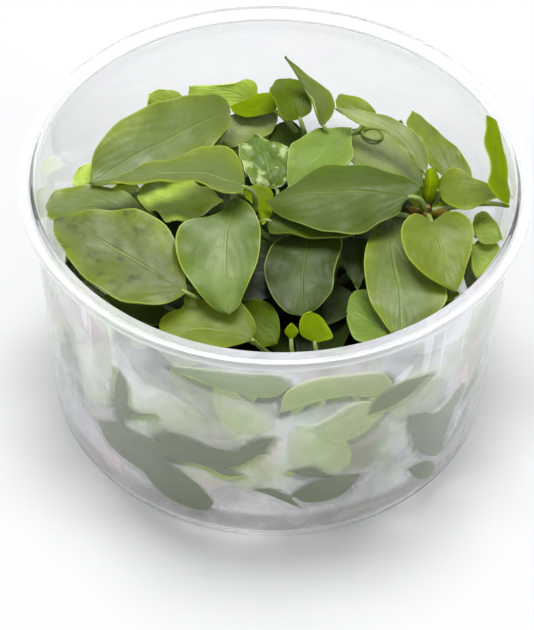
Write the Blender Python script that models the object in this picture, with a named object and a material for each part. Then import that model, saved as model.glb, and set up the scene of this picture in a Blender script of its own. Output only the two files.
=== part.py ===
"""Tissue culture cup of lagenandra.

A clear plastic cup with a flanged rim holds a thin layer of agar gel. Eight
short rhizomes stand in pockets in the gel, and leaves on thin stalks spread
from them into a packed heap that presses on the wall all round.

The leaves are planned in millimetres inside a cup of nominal size and are then
carried into the real cup, so the heap still fits when the cup changes.
"""

from math import cos, pi, radians, sin

import bmesh
import bpy
import numpy as np
from mathutils import Vector

# Driving dimensions of the cup, in metres
RIM_RADIUS = 0.050
RIM_WIDTH = 0.0033
RIM_THICKNESS = 0.0021
RIM_CURL = 0.0006
CUP_HEIGHT = 0.059
WALL = 0.0008
WALL_DRAFT = 0.0025
FLOOR = 0.0012
CORNER_RADIUS = 0.0030
CUP_SIDES = 48
CORNER_STEPS = 2

# Driving dimensions of the gel and the plants, in metres
GEL_DEPTH = 0.0062
GEL_MENISCUS = 0.0008
POCKET_DEPTH = 0.0040
FIT_GAP = 0.0003
RHIZOME_RADIUS = 0.0017
LEAF_THICKNESS = 0.0007
STALK_RADIUS = 0.00075
RESTING_GAP = 0.0004

# The nominal cup, in millimetres, for which the leaves below are planned
PLAN_MOUTH_RADIUS = 46.7
PLAN_BASE_RADIUS = 44.2
PLAN_HEIGHT = 59.0
PLAN_GEL_TOP = 7.7

# A rhizome's thickness, as shares of its radius, at shares of its height
RHIZOME_HEIGHTS = (0.0, 0.25, 0.6, 0.92, 1.0)
RHIZOME_SWELLS = (0.9, 1.0, 0.95, 0.9, 0.6)

# How finely a leaf is divided
BLADE_STEPS = 6
LINE_STEPS = 24
BLADE_SHAPE = 0.78
BLADE_FULLNESS = 0.62

MM = 0.001

CLEAR_PLASTIC = ("clear_plastic", (0.93, 0.94, 0.95), 0.08, 0.30)
AGAR = ("agar", (0.84, 0.83, 0.80), 0.25, 0.55)
RHIZOME = ("rhizome", (0.36, 0.26, 0.10), 0.60, 1.0)
DARK = ("leaf_dark", (0.075, 0.150, 0.040), 0.40, 1.0)
GREY = ("leaf_grey_green", (0.160, 0.260, 0.090), 0.42, 1.0)
LIGHT = ("leaf_light", (0.260, 0.420, 0.070), 0.40, 1.0)
OLIVE = ("leaf_olive", (0.250, 0.370, 0.015), 0.40, 1.0)

# Rhizomes: x, y and the height of the crown, in the nominal cup
RHIZOMES = {
    "rhizome_back_left": (-9, 27, 34),
    "rhizome_back_right": (8, 33, 36),
    "rhizome_middle": (-4, 8, 37),
    "rhizome_left": (-28, 7, 32),
    "rhizome_right": (31, 10, 41),
    "rhizome_centre": (12, 3, 33),
    "rhizome_front_left": (-14, -15, 29),
    "rhizome_front_right": (14, -20, 26),
}

# Leaves, lowest first. Each row gives the rhizome, the height of the stalk's foot,
# the base of the blade x, y, z, its heading, pitch, bend, roll, length, width,
# fold and sideways curve, whether it settles on the leaves below it, and its finish.
# Millimetres and degrees in the nominal cup.
LEAVES = {
    # against the wall, low down
    "leaf_01": ("rhizome_front_left", 13, -34, -28, 19, -48, -16, 6, 88, 27, 10, 0, 34, False, DARK),
    "leaf_02": ("rhizome_front_left", 20, -28, -33, 27, -101, 80, 8, 0, 14, 5, 0, 0, False, DARK),
    "leaf_03": ("rhizome_front_left", 17, -20, -39, 26, -28, -14, 40, 88, 23, 8, 0, 30, False, DARK),
    "leaf_04": ("rhizome_front_right", 12, 5, -43, 13, 7, 12, 4, 88, 14, 6, 0, 18, False, DARK),
    "leaf_05": ("rhizome_front_right", 13, 28, -33, 13, 46, 50, 6, 88, 24, 10, 0, 26, False, GREY),
    "leaf_06": ("rhizome_front_right", 16, 36, -22, 20, -32, 82, 4, 0, 23, 9, 0, 0, False, GREY),
    "leaf_07": ("rhizome_left", 14, -37, -22, 16, -149, 84, 4, 0, 22, 9, 0, 0, False, GREY),
    "leaf_08": ("rhizome_front_right", 20, 19, -38, 33, -152, -12, 14, 84, 14, 8, 0, -20, False, LIGHT),
    "leaf_09": ("rhizome_back_right", 14, 25, 34, 17, 53, 84, 4, 0, 24, 14, 0, 0, False, DARK),
    "leaf_10": ("rhizome_back_left", 14, -15, 39, 15, 112, 84, 4, 0, 25, 15, 0, 0, False, GREY),
    "leaf_11": ("rhizome_left", 16, -40, 11, 18, 164, 84, 4, 0, 20, 12, 0, 0, False, DARK),
    "leaf_12": ("rhizome_right", 17, 42, 4, 16, 6, 84, 4, 0, 21, 11, 0, 0, False, DARK),
    # the lower heap
    "leaf_13": ("rhizome_front_left", 25, -20, -12, 30, 178, 10, -10, 0, 15, 9, 8, 0, True, DARK),
    "leaf_14": ("rhizome_front_right", 25, 9, -27, 31, 98, 50, -20, 0, 12, 9, 8, 0, False, LIGHT),
    "leaf_15": ("rhizome_front_right", 18, 3.5, -27, 32, 90, 60, -20, 0, 9, 4, 8, 0, False, LIGHT),
    "leaf_16": ("rhizome_front_left", 27, -7, -9, 31, -60, 10, -30, 0, 15, 9, 14, 0, True, OLIVE),
    "leaf_17": ("rhizome_front_right", 22, -1, -22, 34, 165, 15, -20, -10, 20, 13, 8, 0, True, LIGHT),
    "leaf_18": ("rhizome_front_right", 25, 23.5, -10.5, 33, -133, 20, -20, 0, 14, 13, 8, 0, True, LIGHT),
    "leaf_19": ("rhizome_back_left", 30, 0.5, 29.5, 35.5, 88, 20, -50, 0, 6, 7, 10, 0, True, DARK),
    "leaf_20": ("rhizome_back_left", 31, -6.5, 31.5, 38, 50, 12, -20, -10, 9.5, 7.5, 8, -50, True, GREY),
    "leaf_21": ("rhizome_back_left", 22, -5.5, 41, 38, 184, 45, -60, -50, 13, 8, 8, 6, True, LIGHT),
    "leaf_22": ("rhizome_back_right", 33, 1.5, 36.5, 39, 155, 35, -50, 0, 6, 7, 8, 0, True, OLIVE),
    "leaf_23": ("rhizome_back_left", 32, -22.5, 33, 39, 118, 60, -10, 0, 9, 9, 8, 0, True, LIGHT),
    "leaf_24": ("rhizome_left", 31, -36.5, 13, 40, 130, 15, -20, 0, 7, 8, 8, 0, True, LIGHT),
    "leaf_25": ("rhizome_centre", 31, 6.5, 1, 38, -98, -5, -20, 0, 17, 14, 8, 0, True, DARK),
    "leaf_26": ("rhizome_centre", 29, 17, 5, 36, -78, -5, -30, 0, 12, 6, 10, 0, True, DARK),
    # the top of the heap
    "leaf_27": ("rhizome_left", 31.5, -28, 5, 40, 178, 6, -14, 0, 16, 13, 8, 0, True, DARK),
    "leaf_28": ("rhizome_left", 29, -17, -14, 41, 155, 12, -18, -12, 29.5, 19, 8, 0, True, GREY),
    "leaf_29": ("rhizome_left", 31, -26, 9.5, 39.5, -14, 12, -16, -10, 16.5, 13, 12, 0, True, LIGHT),
    "leaf_30": ("rhizome_right", 36, 38, 0, 39, -50, 0, -30, 0, 9, 8, 8, 0, True, OLIVE),
    "leaf_31": ("rhizome_right", 38, 38, 4, 41, -25, 10, -30, 0, 8, 8, 8, 0, True, OLIVE),
    "leaf_32": ("rhizome_right", 37, 24, 6, 40, -84, 2, -22, 0, 29, 16, 8, 10, True, GREY),
    "leaf_33": ("rhizome_right", 39, 31, 3, 44, -75, 0, -26, 0, 16, 15, 10, 0, True, LIGHT),
    "leaf_34": ("rhizome_centre", 26, 0.5, 2.5, 41, 0, 4, -10, 5, 16, 9, 12, 0, True, DARK),
    "leaf_35": ("rhizome_middle", 34, -1, 14, 39.5, 112, 10, -20, 0, 15, 12, 12, 0, True, LIGHT),
    "leaf_36": ("rhizome_right", 32, 29, 21.5, 39, 142, 10, -16, 0, 15, 12, 10, 0, True, GREY),
    "leaf_37": ("rhizome_back_right", 34, 19.5, 35, 42, 138, 20, -30, 0, 9, 8, 8, 0, True, LIGHT),
    "leaf_38": ("rhizome_centre", 31, 3.5, 14, 41.5, 55, 8, -18, -10, 20, 15, 10, 0, True, LIGHT),
    "leaf_39": ("rhizome_right", 37, 35, 14.5, 40, 98, 20, -20, 0, 21, 9.5, 14, 20, True, GREY),
    "leaf_40": ("rhizome_right", 40, 29.5, 16.5, 43, 124, 30, -50, -20, 24, 7.5, 12, 27, True, LIGHT),
    "leaf_41": ("rhizome_middle", 33, -5.5, 13, 41, -45, 5, -30, 0, 8.5, 6, 14, 0, True, OLIVE),
    "leaf_42": ("rhizome_right", 40, 28, 9, 46, 184, 4, -22, -6, 30, 19, -12, 0, True, DARK),
    "leaf_43": ("rhizome_middle", 30, -10.7, 7.5, 44, -89, 5, -42, 0, 28, 17, 8, 0, True, LIGHT),
    "leaf_44": ("rhizome_back_left", 33, -11.5, 31, 43, -136, 12, -24, -22, 32.5, 19, 8, -15, True, GREY),
    "leaf_45": ("rhizome_middle", 37, -6.5, 6.2, 48.5, 175, 14, -34, 18, 30, 16, 14, 6, True, GREY),
    "leaf_46": ("rhizome_back_right", 35, 5.5, 32, 43, 115, 35, -60, 0, 13, 10, 14, 0, True, OLIVE),
    "leaf_47": ("rhizome_back_right", 35, 10.5, 32, 42.5, 136, 42, 0, 18, 17, 8, 30, 0, False, GREY),
    "leaf_48": ("rhizome_right", 40, 33.5, 12.5, 44, -17, 20, -10, 10, 10.5, 9, 10, 0, False, GREY),
    "leaf_49": ("rhizome_right", 40.5, 43.5, 1, 51, 88, 15, 4, 66, 20.5, 7, 8, 26, False, OLIVE),
}
FIELDS = ("rhizome foot x y z heading pitch bend roll length width fold curve settles finish").split()


def clear_scene():
    """Remove whatever objects the opened file holds."""
    for item in list(bpy.data.objects):
        bpy.data.objects.remove(item, do_unlink=True)


def add_material(obj, finish):
    """Give an object its own plain material."""
    name, colour, roughness, alpha = finish
    material = bpy.data.materials.new(f"{obj.name}_{name}")
    material.use_nodes = True
    shader = material.node_tree.nodes["Principled BSDF"]
    shader.inputs["Base Color"].default_value = (*colour, 1.0)
    shader.inputs["Roughness"].default_value = roughness
    shader.inputs["Metallic"].default_value = 0.0
    shader.inputs["Alpha"].default_value = alpha
    obj.data.materials.append(material)


def add_object(name, bm, finish):
    """Turn a finished bmesh into a named object, shaded smooth across its rounds."""
    bmesh.ops.recalc_face_normals(bm, faces=bm.faces)
    mesh = bpy.data.meshes.new(name)
    bm.to_mesh(mesh)
    bm.free()
    mesh.shade_smooth()
    mesh.set_sharp_from_angle(angle=radians(40))
    obj = bpy.data.objects.new(name, mesh)
    bpy.context.collection.objects.link(obj)
    add_material(obj, finish)
    return obj


def mouth_radius():
    """Inner radius of the cup at its rim."""
    return RIM_RADIUS - RIM_WIDTH


def inner_radius(height):
    """Inner radius of the wall at a height above the base."""
    share = height / CUP_HEIGHT
    return mouth_radius() - WALL_DRAFT * (1.0 - share)


def arc(centre_r, centre_z, radius, start, end, steps):
    """Points on an arc of a turned profile, angles in degrees."""
    points = []
    for step in range(steps + 1):
        angle = radians(start + (end - start) * step / steps)
        points.append((centre_r + radius * cos(angle), centre_z + radius * sin(angle)))
    return points


def turn(profile, sides):
    """Spin an open profile that starts and ends on the Z axis into a closed body."""
    bm = bmesh.new()
    verts = [bm.verts.new((r, 0.0, z)) for r, z in profile]
    edges = [bm.edges.new(pair) for pair in zip(verts, verts[1:])]
    bmesh.ops.spin(
        bm,
        geom=verts + edges,
        cent=(0.0, 0.0, 0.0),
        axis=(0.0, 0.0, 1.0),
        angle=2.0 * pi,
        steps=sides,
        use_merge=True,
    )
    bmesh.ops.remove_doubles(bm, verts=bm.verts, dist=1e-6)
    bmesh.ops.dissolve_degenerate(bm, edges=bm.edges, dist=1e-7)
    return bm


def make_cup():
    """The clear cup: rounded base corner, drafted wall and a flange with eased edges."""
    outer_base = inner_radius(0.0) + WALL
    outer_top = mouth_radius() + WALL
    flange_under = CUP_HEIGHT - RIM_THICKNESS
    inner_corner = CORNER_RADIUS - WALL
    inner_base = inner_radius(FLOOR)
    profile = [(0.0, 0.0)]
    profile += arc(outer_base - CORNER_RADIUS, CORNER_RADIUS, CORNER_RADIUS, -90, 0, CORNER_STEPS)
    profile += [
        (outer_top, flange_under),
        (RIM_RADIUS - RIM_CURL, flange_under),
        (RIM_RADIUS, flange_under + RIM_CURL),
        (RIM_RADIUS, CUP_HEIGHT - RIM_CURL),
        (RIM_RADIUS - RIM_CURL, CUP_HEIGHT),
        (mouth_radius() + RIM_CURL / 2, CUP_HEIGHT),
        (mouth_radius(), CUP_HEIGHT - RIM_CURL),
    ]
    profile += arc(inner_base - inner_corner, FLOOR + inner_corner, inner_corner, 0, -90, CORNER_STEPS)
    profile += [(0.0, FLOOR)]
    add_object("cup", turn(profile, CUP_SIDES), CLEAR_PLASTIC)


def gel_top():
    """Height of the gel's surface."""
    return FLOOR + FIT_GAP + GEL_DEPTH


def make_gel():
    """The agar: a turned disc that fits the cup, with a blind pocket for each rhizome."""
    base = FLOOR + FIT_GAP
    top = gel_top()
    corner = CORNER_RADIUS - WALL
    low_radius = inner_radius(base) - FIT_GAP
    profile = [(0.0, base)]
    profile += arc(low_radius - corner, base + corner, corner, -90, 0, CORNER_STEPS)
    profile += [
        (inner_radius(top + GEL_MENISCUS) - FIT_GAP, top + GEL_MENISCUS),
        (inner_radius(top) - FIT_GAP - 2 * GEL_MENISCUS, top),
        (0.0, top),
    ]
    gel = add_object("agar_gel", turn(profile, CUP_SIDES), AGAR)
    for name, rhizome in RHIZOMES.items():
        centre = fit_to_cup(rhizome_axis(rhizome, 0.0))
        bpy.ops.mesh.primitive_cylinder_add(
            vertices=8,
            radius=RHIZOME_RADIUS + 2 * FIT_GAP,
            depth=2 * POCKET_DEPTH,
            location=(centre.x, centre.y, top),
        )
        cutter = bpy.context.object
        cutter.name = "pocket_" + name
        cutter.hide_render = True
        cutter.display_type = "WIRE"
        pocket = gel.modifiers.new("pocket_" + name, "BOOLEAN")
        pocket.operation = "DIFFERENCE"
        pocket.solver = "EXACT"
        pocket.object = cutter


def plan_inner_radius(height):
    """Inner radius of the nominal cup, in millimetres."""
    share = height / PLAN_HEIGHT
    return PLAN_BASE_RADIUS + (PLAN_MOUTH_RADIUS - PLAN_BASE_RADIUS) * share


def fit_to_cup(point):
    """Carry a point of the nominal cup, in millimetres, into the real cup, in metres."""
    x, y, z = point
    above_gel = (z - PLAN_GEL_TOP) / (PLAN_HEIGHT - PLAN_GEL_TOP)
    height = gel_top() + above_gel * (CUP_HEIGHT - gel_top())
    spread = inner_radius(height) / plan_inner_radius(z)
    return Vector((x * spread, y * spread, height))


def plan_size(size, height):
    """A real size, in metres, as millimetres of the nominal cup at a nominal height."""
    real_height = fit_to_cup((0.0, 0.0, height)).z
    return size * plan_inner_radius(height) / inner_radius(real_height)


def rhizome_axis(rhizome, share):
    """A point on a rhizome: 0 at its foot in the gel, 1 at its crown."""
    x, y, crown = rhizome
    lean = 0.94 + 0.06 * share
    foot = PLAN_GEL_TOP - (POCKET_DEPTH - FIT_GAP) / MM
    return Vector((x * lean, y * lean, foot + (crown - foot) * share))


def loft(rings):
    """Extrude the first ring's face through every other ring."""
    bm = bmesh.new()
    face = bm.faces.new([bm.verts.new(point) for point in rings[0]])
    for number, ring in enumerate(rings[1:]):
        grown = bmesh.ops.extrude_face_region(bm, geom=[face])["geom"]
        if number > 0:
            bmesh.ops.delete(bm, geom=[face], context="FACES_ONLY")
        face = next(item for item in grown if isinstance(item, bmesh.types.BMFace))
        for vert, point in zip(face.verts, ring):
            vert.co = point
    return bm


def rhizome_radius(share):
    """A rhizome's radius at a share of its height."""
    return RHIZOME_RADIUS * float(np.interp(share, RHIZOME_HEIGHTS, RHIZOME_SWELLS))


def make_rhizome(name, rhizome):
    """A short rhizome that stands in its pocket and ends in a blunt crown."""
    rings = []
    for share in RHIZOME_HEIGHTS:
        centre = rhizome_axis(rhizome, share)
        ring = []
        for side in range(7):
            angle = 2.0 * pi * side / 7
            offset = Vector((cos(angle), sin(angle), 0.0)) * rhizome_radius(share)
            ring.append(fit_to_cup(centre) + offset)
        rings.append(ring)
    add_object(name, loft(rings), RHIZOME)


def blade_line(leaf):
    """Centre, side and normal along a blade from its base to its tip."""
    centre = Vector((leaf["x"], leaf["y"], leaf["z"] + leaf["lift"]))
    roll = radians(leaf["roll"])
    line = []
    for step in range(LINE_STEPS + 1):
        share = step / LINE_STEPS
        heading = radians(leaf["heading"] + leaf["curve"] * share)
        pitch = radians(leaf["pitch"] + leaf["bend"] * share)
        along = Vector((cos(heading) * cos(pitch), sin(heading) * cos(pitch), sin(pitch)))
        level = Vector((-sin(heading), cos(heading), 0.0))
        side = cos(roll) * level + sin(roll) * along.cross(level)
        line.append((centre.copy(), side, along.cross(side), along))
        centre += along * (leaf["length"] / LINE_STEPS)
    return line


def blade_station(line, share):
    """The line's centre, side and normal at a share of the blade's length."""
    place = share * LINE_STEPS
    low = min(int(place), LINE_STEPS - 1)
    part = place - low
    return [a.lerp(b, part) for a, b in zip(line[low], line[low + 1])][:3]


def half_width(leaf, share):
    """Half the blade's width: a rounded base, widest before the middle, a pointed tip."""
    return 0.5 * leaf["width"] * max(sin(pi * share ** BLADE_SHAPE), 0.0) ** BLADE_FULLNESS


def cross_section(station, reach, thickness, fold):
    """Eight points round a lens-shaped section, folded up along its middle."""
    centre, side, normal = station
    ring = []
    for across, face in ((-1, 0), (-0.5, 1), (0, 1), (0.5, 1), (1, 0), (0.5, -1), (0, -1), (-0.5, -1)):
        rise = reach * abs(across) * sin(fold)
        rise += face * thickness * (1.0 - across * across) ** 0.5
        ring.append(centre + side * (reach * across * cos(fold)) + normal * rise)
    return ring


def stalk_stations(leaf, line):
    """Sections of the stalk, from beside its rhizome up to the blade's base."""
    base, side, normal, along = line[0]
    rhizome = RHIZOMES[leaf["rhizome"]]
    foot_height = PLAN_GEL_TOP - POCKET_DEPTH / MM
    share = (leaf["foot"] - foot_height) / (rhizome[2] - foot_height)
    axis = rhizome_axis(rhizome, share)
    outward = Vector((base.x - axis.x, base.y - axis.y, 0.0)).normalized()
    rise = (base - axis).normalized().z
    clearance = FIT_GAP + STALK_RADIUS * abs(rise)
    foot = axis + outward * plan_size(rhizome_radius(share) + clearance, axis.z)
    reach = (base - foot).length
    control = base - along * reach * 0.35
    stations = []
    for share in (0.0, 0.5):
        early = foot.lerp(control, share)
        late = control.lerp(base, share)
        centre = early.lerp(late, share)
        tangent = (late - early).normalized()
        flat_side = (side - tangent * side.dot(tangent)).normalized()
        stations.append((centre, flat_side, tangent.cross(flat_side)))
    return stations


def make_leaf(name, leaf):
    """A leaf in one piece: a thin stalk that widens into a lens-shaped blade."""
    line = blade_line(leaf)
    fold = radians(leaf["fold"])
    stalk = plan_size(STALK_RADIUS, leaf["z"])
    half_thickness = 0.5 * LEAF_THICKNESS / MM
    rings = [cross_section(station, stalk, stalk, 0.0) for station in stalk_stations(leaf, line)]
    rings.append(cross_section(blade_station(line, 0.0), stalk, half_thickness * 1.4, 0.0))
    for step in range(1, BLADE_STEPS + 1):
        share = 0.5 - 0.5 * cos(pi * (step - 0.25) / BLADE_STEPS)
        reach = half_width(leaf, share)
        rings.append(cross_section(blade_station(line, share), reach, half_thickness, fold))
    placed = [[fit_to_cup(point) for point in ring] for ring in rings]
    add_object(name, loft(placed), leaf["finish"])


def settle(leaves):
    """Lift each settling leaf until it clears the leaves already in the heap below it."""
    cell = 0.8
    cells = int(2 * PLAN_MOUTH_RADIUS / cell) + 3
    heap = np.full((cells, cells), -1.0)
    gap = (LEAF_THICKNESS + RESTING_GAP) / MM
    for leaf in leaves.values():
        leaf["lift"] = 0.0
        if not leaf["settles"]:
            continue
        line = blade_line(leaf)
        fold = radians(leaf["fold"])
        points = []
        for step in range(1, 40):
            centre, side, normal = blade_station(line, step / 40)
            reach = half_width(leaf, step / 40)
            for place in range(-12, 13):
                across = place / 12
                rise = reach * abs(across) * sin(fold)
                points.append(centre + side * (reach * across * cos(fold)) + normal * rise)
        places = []
        for point in points:
            column = int((point.x + PLAN_MOUTH_RADIUS) / cell) + 1
            row = int((point.y + PLAN_MOUTH_RADIUS) / cell) + 1
            below = heap[column - 1:column + 2, row - 1:row + 2].max()
            leaf["lift"] = max(leaf["lift"], below + gap - point.z)
            places.append((column, row))
        for (column, row), point in zip(places, points):
            heap[column, row] = max(heap[column, row], point.z + leaf["lift"])
    return leaves


def main():
    clear_scene()
    make_cup()
    make_gel()
    for name, rhizome in RHIZOMES.items():
        make_rhizome(name, rhizome)
    leaves = {name: dict(zip(FIELDS, row)) for name, row in LEAVES.items()}
    for name, leaf in settle(leaves).items():
        make_leaf(name, leaf)


main()
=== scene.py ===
# %% [markdown]
# # A tissue culture cup of lagenandra
#
# A clear plastic cup holds a thin layer of agar gel and a packed heap of young leaves.
# The solids of the cup, the gel, the short rhizomes and every leaf come from the packed
# model. This lesson dresses them: thin curved blades with veins, round stalks, clear
# plastic with a milky haze on its inside, and cloudy gel with roots.

from math import cos, pi, radians, sin

import bpy
import numpy as np
from mathutils import Matrix, Vector
from mathutils.bvhtree import BVHTree


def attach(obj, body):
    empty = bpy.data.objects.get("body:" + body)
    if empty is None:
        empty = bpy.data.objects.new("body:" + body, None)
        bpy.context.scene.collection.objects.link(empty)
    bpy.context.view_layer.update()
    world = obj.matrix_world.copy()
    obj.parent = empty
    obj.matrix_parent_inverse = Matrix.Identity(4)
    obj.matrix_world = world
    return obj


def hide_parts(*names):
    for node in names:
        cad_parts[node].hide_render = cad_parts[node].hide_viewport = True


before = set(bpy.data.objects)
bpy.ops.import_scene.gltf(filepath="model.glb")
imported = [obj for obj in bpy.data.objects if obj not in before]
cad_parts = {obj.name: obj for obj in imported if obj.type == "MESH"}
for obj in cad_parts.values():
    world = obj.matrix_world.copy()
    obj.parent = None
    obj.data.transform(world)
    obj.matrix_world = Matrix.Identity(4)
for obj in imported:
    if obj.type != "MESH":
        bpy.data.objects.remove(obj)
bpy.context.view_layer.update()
MM = 0.001

# %% [markdown]
# ## The camera
#
# The photograph looks down on the cup at about 47 degrees from a little over half a
# metre away, turned clockwise by a degree or two. The lens follows from the height of
# the picture, 630 pixels, and the focal length in pixels that fits the rim and base.

# %% Place the camera
PICTURE_HEIGHT = 630
FOCAL_PIXELS = 2430
SENSOR_HEIGHT = 24.0
ELEVATION = radians(47.3)
TURN = radians(1.73)
TARGET = Vector((-0.83, 0.0, 18.0)) * MM
DISTANCE = 501.5 * MM

forward = Vector((0.0, cos(ELEVATION), -sin(ELEVATION)))
level_right = Vector((1.0, 0.0, 0.0))
level_up = level_right.cross(forward)
camera_right = cos(TURN) * level_right + sin(TURN) * level_up
camera_up = cos(TURN) * level_up - sin(TURN) * level_right

bpy.ops.object.camera_add(location=TARGET - forward * DISTANCE)
camera = bpy.context.object
camera.rotation_euler = Matrix((camera_right, camera_up, -forward)).transposed().to_euler()
camera.data.sensor_fit = "VERTICAL"
camera.data.sensor_height = SENSOR_HEIGHT
camera.data.lens = SENSOR_HEIGHT * FOCAL_PIXELS / PICTURE_HEIGHT
camera.data.clip_start = 0.01
camera.data.clip_end = 20.0
bpy.context.scene.camera = camera
print("lens", round(camera.data.lens, 1), "mm")

# %% [markdown]
# ## Node trees in few words
#
# A finish is a tree of nodes. By hand, each node is added, its sockets are set or linked,
# and one of its outputs goes on to the next. One small class does these steps, so that a
# recipe below reads as a list of what feeds what. It serves materials and the world.

# %% A helper that grows a node tree
class Recipe:
    """The node tree of a material or a world, in the making."""

    def __init__(self, owner):
        owner.use_nodes = True
        self.owner = owner
        self.nodes = owner.node_tree.nodes
        self.links = owner.node_tree.links
        self.nodes.clear()

    def feed(self, socket, value):
        """Link a socket from an output, or set it to a number, a vector or a colour."""
        if isinstance(value, bpy.types.NodeSocket):
            self.links.new(value, socket)
        elif isinstance(value, tuple) and len(value) < len(socket.default_value):
            socket.default_value = (*value, 1.0)
        else:
            socket.default_value = value

    def add(self, kind, feeds=None, out=0, **choices):
        """Add a node, make its choices, feed its sockets and return one of its outputs."""
        node = self.nodes.new(kind)
        for name, value in choices.items():
            setattr(node, name, value)
        for name, value in (feeds or {}).items():
            self.feed(node.inputs[name], value)
        return node.outputs[out] if node.outputs else None

    def math(self, operation, *values):
        """A math node's result."""
        return self.add("ShaderNodeMath", dict(enumerate(values)), operation=operation)

    def mix(self, share, first, second):
        """Two colours mixed by a share."""
        feeds = {0: share, 6: first, 7: second}
        return self.add("ShaderNodeMix", feeds, 2, data_type="RGBA")

    def stretch(self, value, low, high, new_low=0.0, new_high=1.0):
        """A value mapped from one range to another, smoothly and clamped."""
        feeds = {"Value": value, "From Min": low, "From Max": high}
        feeds.update({"To Min": new_low, "To Max": new_high})
        return self.add("ShaderNodeMapRange", feeds, interpolation_type="SMOOTHSTEP")

    def noise(self, at, scale, detail=2.0):
        """A noise texture's value on given coordinates."""
        feeds = {"Vector": at, "Scale": scale, "Detail": detail}
        return self.add("ShaderNodeTexNoise", feeds, "Fac")

    def blend(self, share, first, second):
        """Two shaders mixed by a share."""
        return self.add("ShaderNodeMixShader", {0: share, 1: first, 2: second})

    def surface(self, shader, kind="ShaderNodeOutputMaterial"):
        """Send a shader to the tree's output; returns the tree's owner."""
        self.add(kind, {"Surface": shader})
        return self.owner


print("recipes ready")

# %% [markdown]
# ## Floor and light
#
# A pale floor keeps the soft shadow of the cup. The main lamp is a softbox above and
# a little behind, so the shadow is short and lies in front. Two tall strips beside the
# camera light the wall and draw bright lines down it. The world fills in from all sides:
# the camera sees it plain white, and the clear plastic sees it a little greyer higher up.

# %% Make the floor, the softbox and the world
def lamp(name, place, width, depth, watts):
    """A rectangular lamp that looks at the middle of the floor."""
    bpy.ops.object.light_add(type="AREA", location=place)
    light = bpy.context.object
    light.name = name
    light.data.shape = "RECTANGLE"
    light.data.size = width
    light.data.size_y = depth
    light.data.energy = watts
    light.rotation_euler = (-light.location).to_track_quat("-Z", "Y").to_euler()


bpy.ops.mesh.primitive_plane_add(size=6.0, location=(0.0, 0.0, 0.0))
floor = bpy.context.object
floor.name = "floor"
paper = Recipe(bpy.data.materials.new("floor_white"))
matt = paper.add("ShaderNodeBsdfDiffuse", {"Color": (0.60, 0.603, 0.613)})
glow = paper.add("ShaderNodeEmission", {"Color": (1.0, 1.0, 1.0), "Strength": 0.06})
floor.data.materials.append(paper.surface(paper.add("ShaderNodeAddShader", {0: matt, 1: glow})))

lamp("softbox", (0.0, 0.16, 0.85), 0.60, 0.34, 8.2)
lamp("strip_left", (-0.52, -0.34, 0.26), 0.10, 0.46, 1.3)
lamp("strip_right", (0.52, -0.34, 0.26), 0.10, 0.46, 1.3)

world = bpy.data.worlds.new("studio")
bpy.context.scene.world = world
room = Recipe(world)
fill = room.add("ShaderNodeBackground", {"Color": (0.96, 0.98, 1.0), "Strength": 0.42})
white = room.add("ShaderNodeBackground", {"Color": (1.0, 1.0, 1.0), "Strength": 1.0})
direction = room.add("ShaderNodeTexCoord", out="Generated")
upwards = room.add("ShaderNodeSeparateXYZ", {"Vector": direction}, "Z")
walls = room.add("ShaderNodeValToRGB", {"Fac": upwards}, "Color")
low, high = walls.node.color_ramp.elements
low.position, low.color = 0.0, (0.94, 0.94, 0.97, 1.0)
high.position, high.color = 0.55, (0.62, 0.63, 0.65, 1.0)
studio = room.add("ShaderNodeBackground", {"Color": walls, "Strength": 1.0})
reflected = room.add("ShaderNodeLightPath", out="Is Glossy Ray")
refracted = room.add("ShaderNodeLightPath", out="Is Transmission Ray")
unseen = room.blend(room.math("MAXIMUM", reflected, refracted), fill, studio)
seen = room.add("ShaderNodeLightPath", out="Is Camera Ray")
room.surface(room.blend(seen, unseen, white), "ShaderNodeOutputWorld")

bpy.context.scene.view_settings.view_transform = "Standard"
print("lamps:", len(bpy.data.lights))

# %% [markdown]
# ## Grids that wrap
#
# Almost everything here is a sheet bent into shape: a blade is a grid with its ends
# drawn to points, a stalk or root is a grid wrapped into a tube, and the cup is a grid
# wrapped round its axis. So one helper adds a grid and moves its vertices, given each
# one's place along and across, and welds what meets.

# %% Bend a grid, wrap it into a tube, join the pieces
WELD = 1e-6


def only(obj):
    """Select one object and make it active."""
    bpy.ops.object.select_all(action="DESELECT")
    obj.select_set(True)
    bpy.context.view_layer.objects.active = obj


def bent_grid(name, points):
    """A grid primitive whose vertices are moved to points[row][column], then welded."""
    rows, columns = points.shape[:2]
    bpy.ops.object.select_all(action="DESELECT")
    bpy.ops.mesh.primitive_grid_add(x_subdivisions=rows - 1, y_subdivisions=columns - 1, size=1.0)
    obj = bpy.context.object
    obj.name = name
    obj.data.name = name
    count = len(obj.data.vertices)
    flat = np.empty(count * 3)
    obj.data.vertices.foreach_get("co", flat)
    flat = flat.reshape(count, 3)
    row = np.rint((flat[:, 0] + 0.5) * (rows - 1)).astype(int)
    column = np.rint((flat[:, 1] + 0.5) * (columns - 1)).astype(int)
    obj.data.vertices.foreach_set("co", points[row, column].ravel())
    obj.data.update()
    bpy.ops.object.mode_set(mode="EDIT")
    bpy.ops.mesh.select_all(action="SELECT")
    bpy.ops.mesh.remove_doubles(threshold=WELD)
    bpy.ops.object.mode_set(mode="OBJECT")
    return obj


def close_and_orient(obj):
    """Fill open ends and point every face outwards."""
    only(obj)
    bpy.ops.object.mode_set(mode="EDIT")
    bpy.ops.mesh.select_all(action="DESELECT")
    bpy.ops.mesh.select_non_manifold(extend=False)
    bpy.ops.mesh.edge_face_add()
    bpy.ops.mesh.select_all(action="SELECT")
    bpy.ops.mesh.normals_make_consistent(inside=False)
    bpy.ops.object.mode_set(mode="OBJECT")


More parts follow.
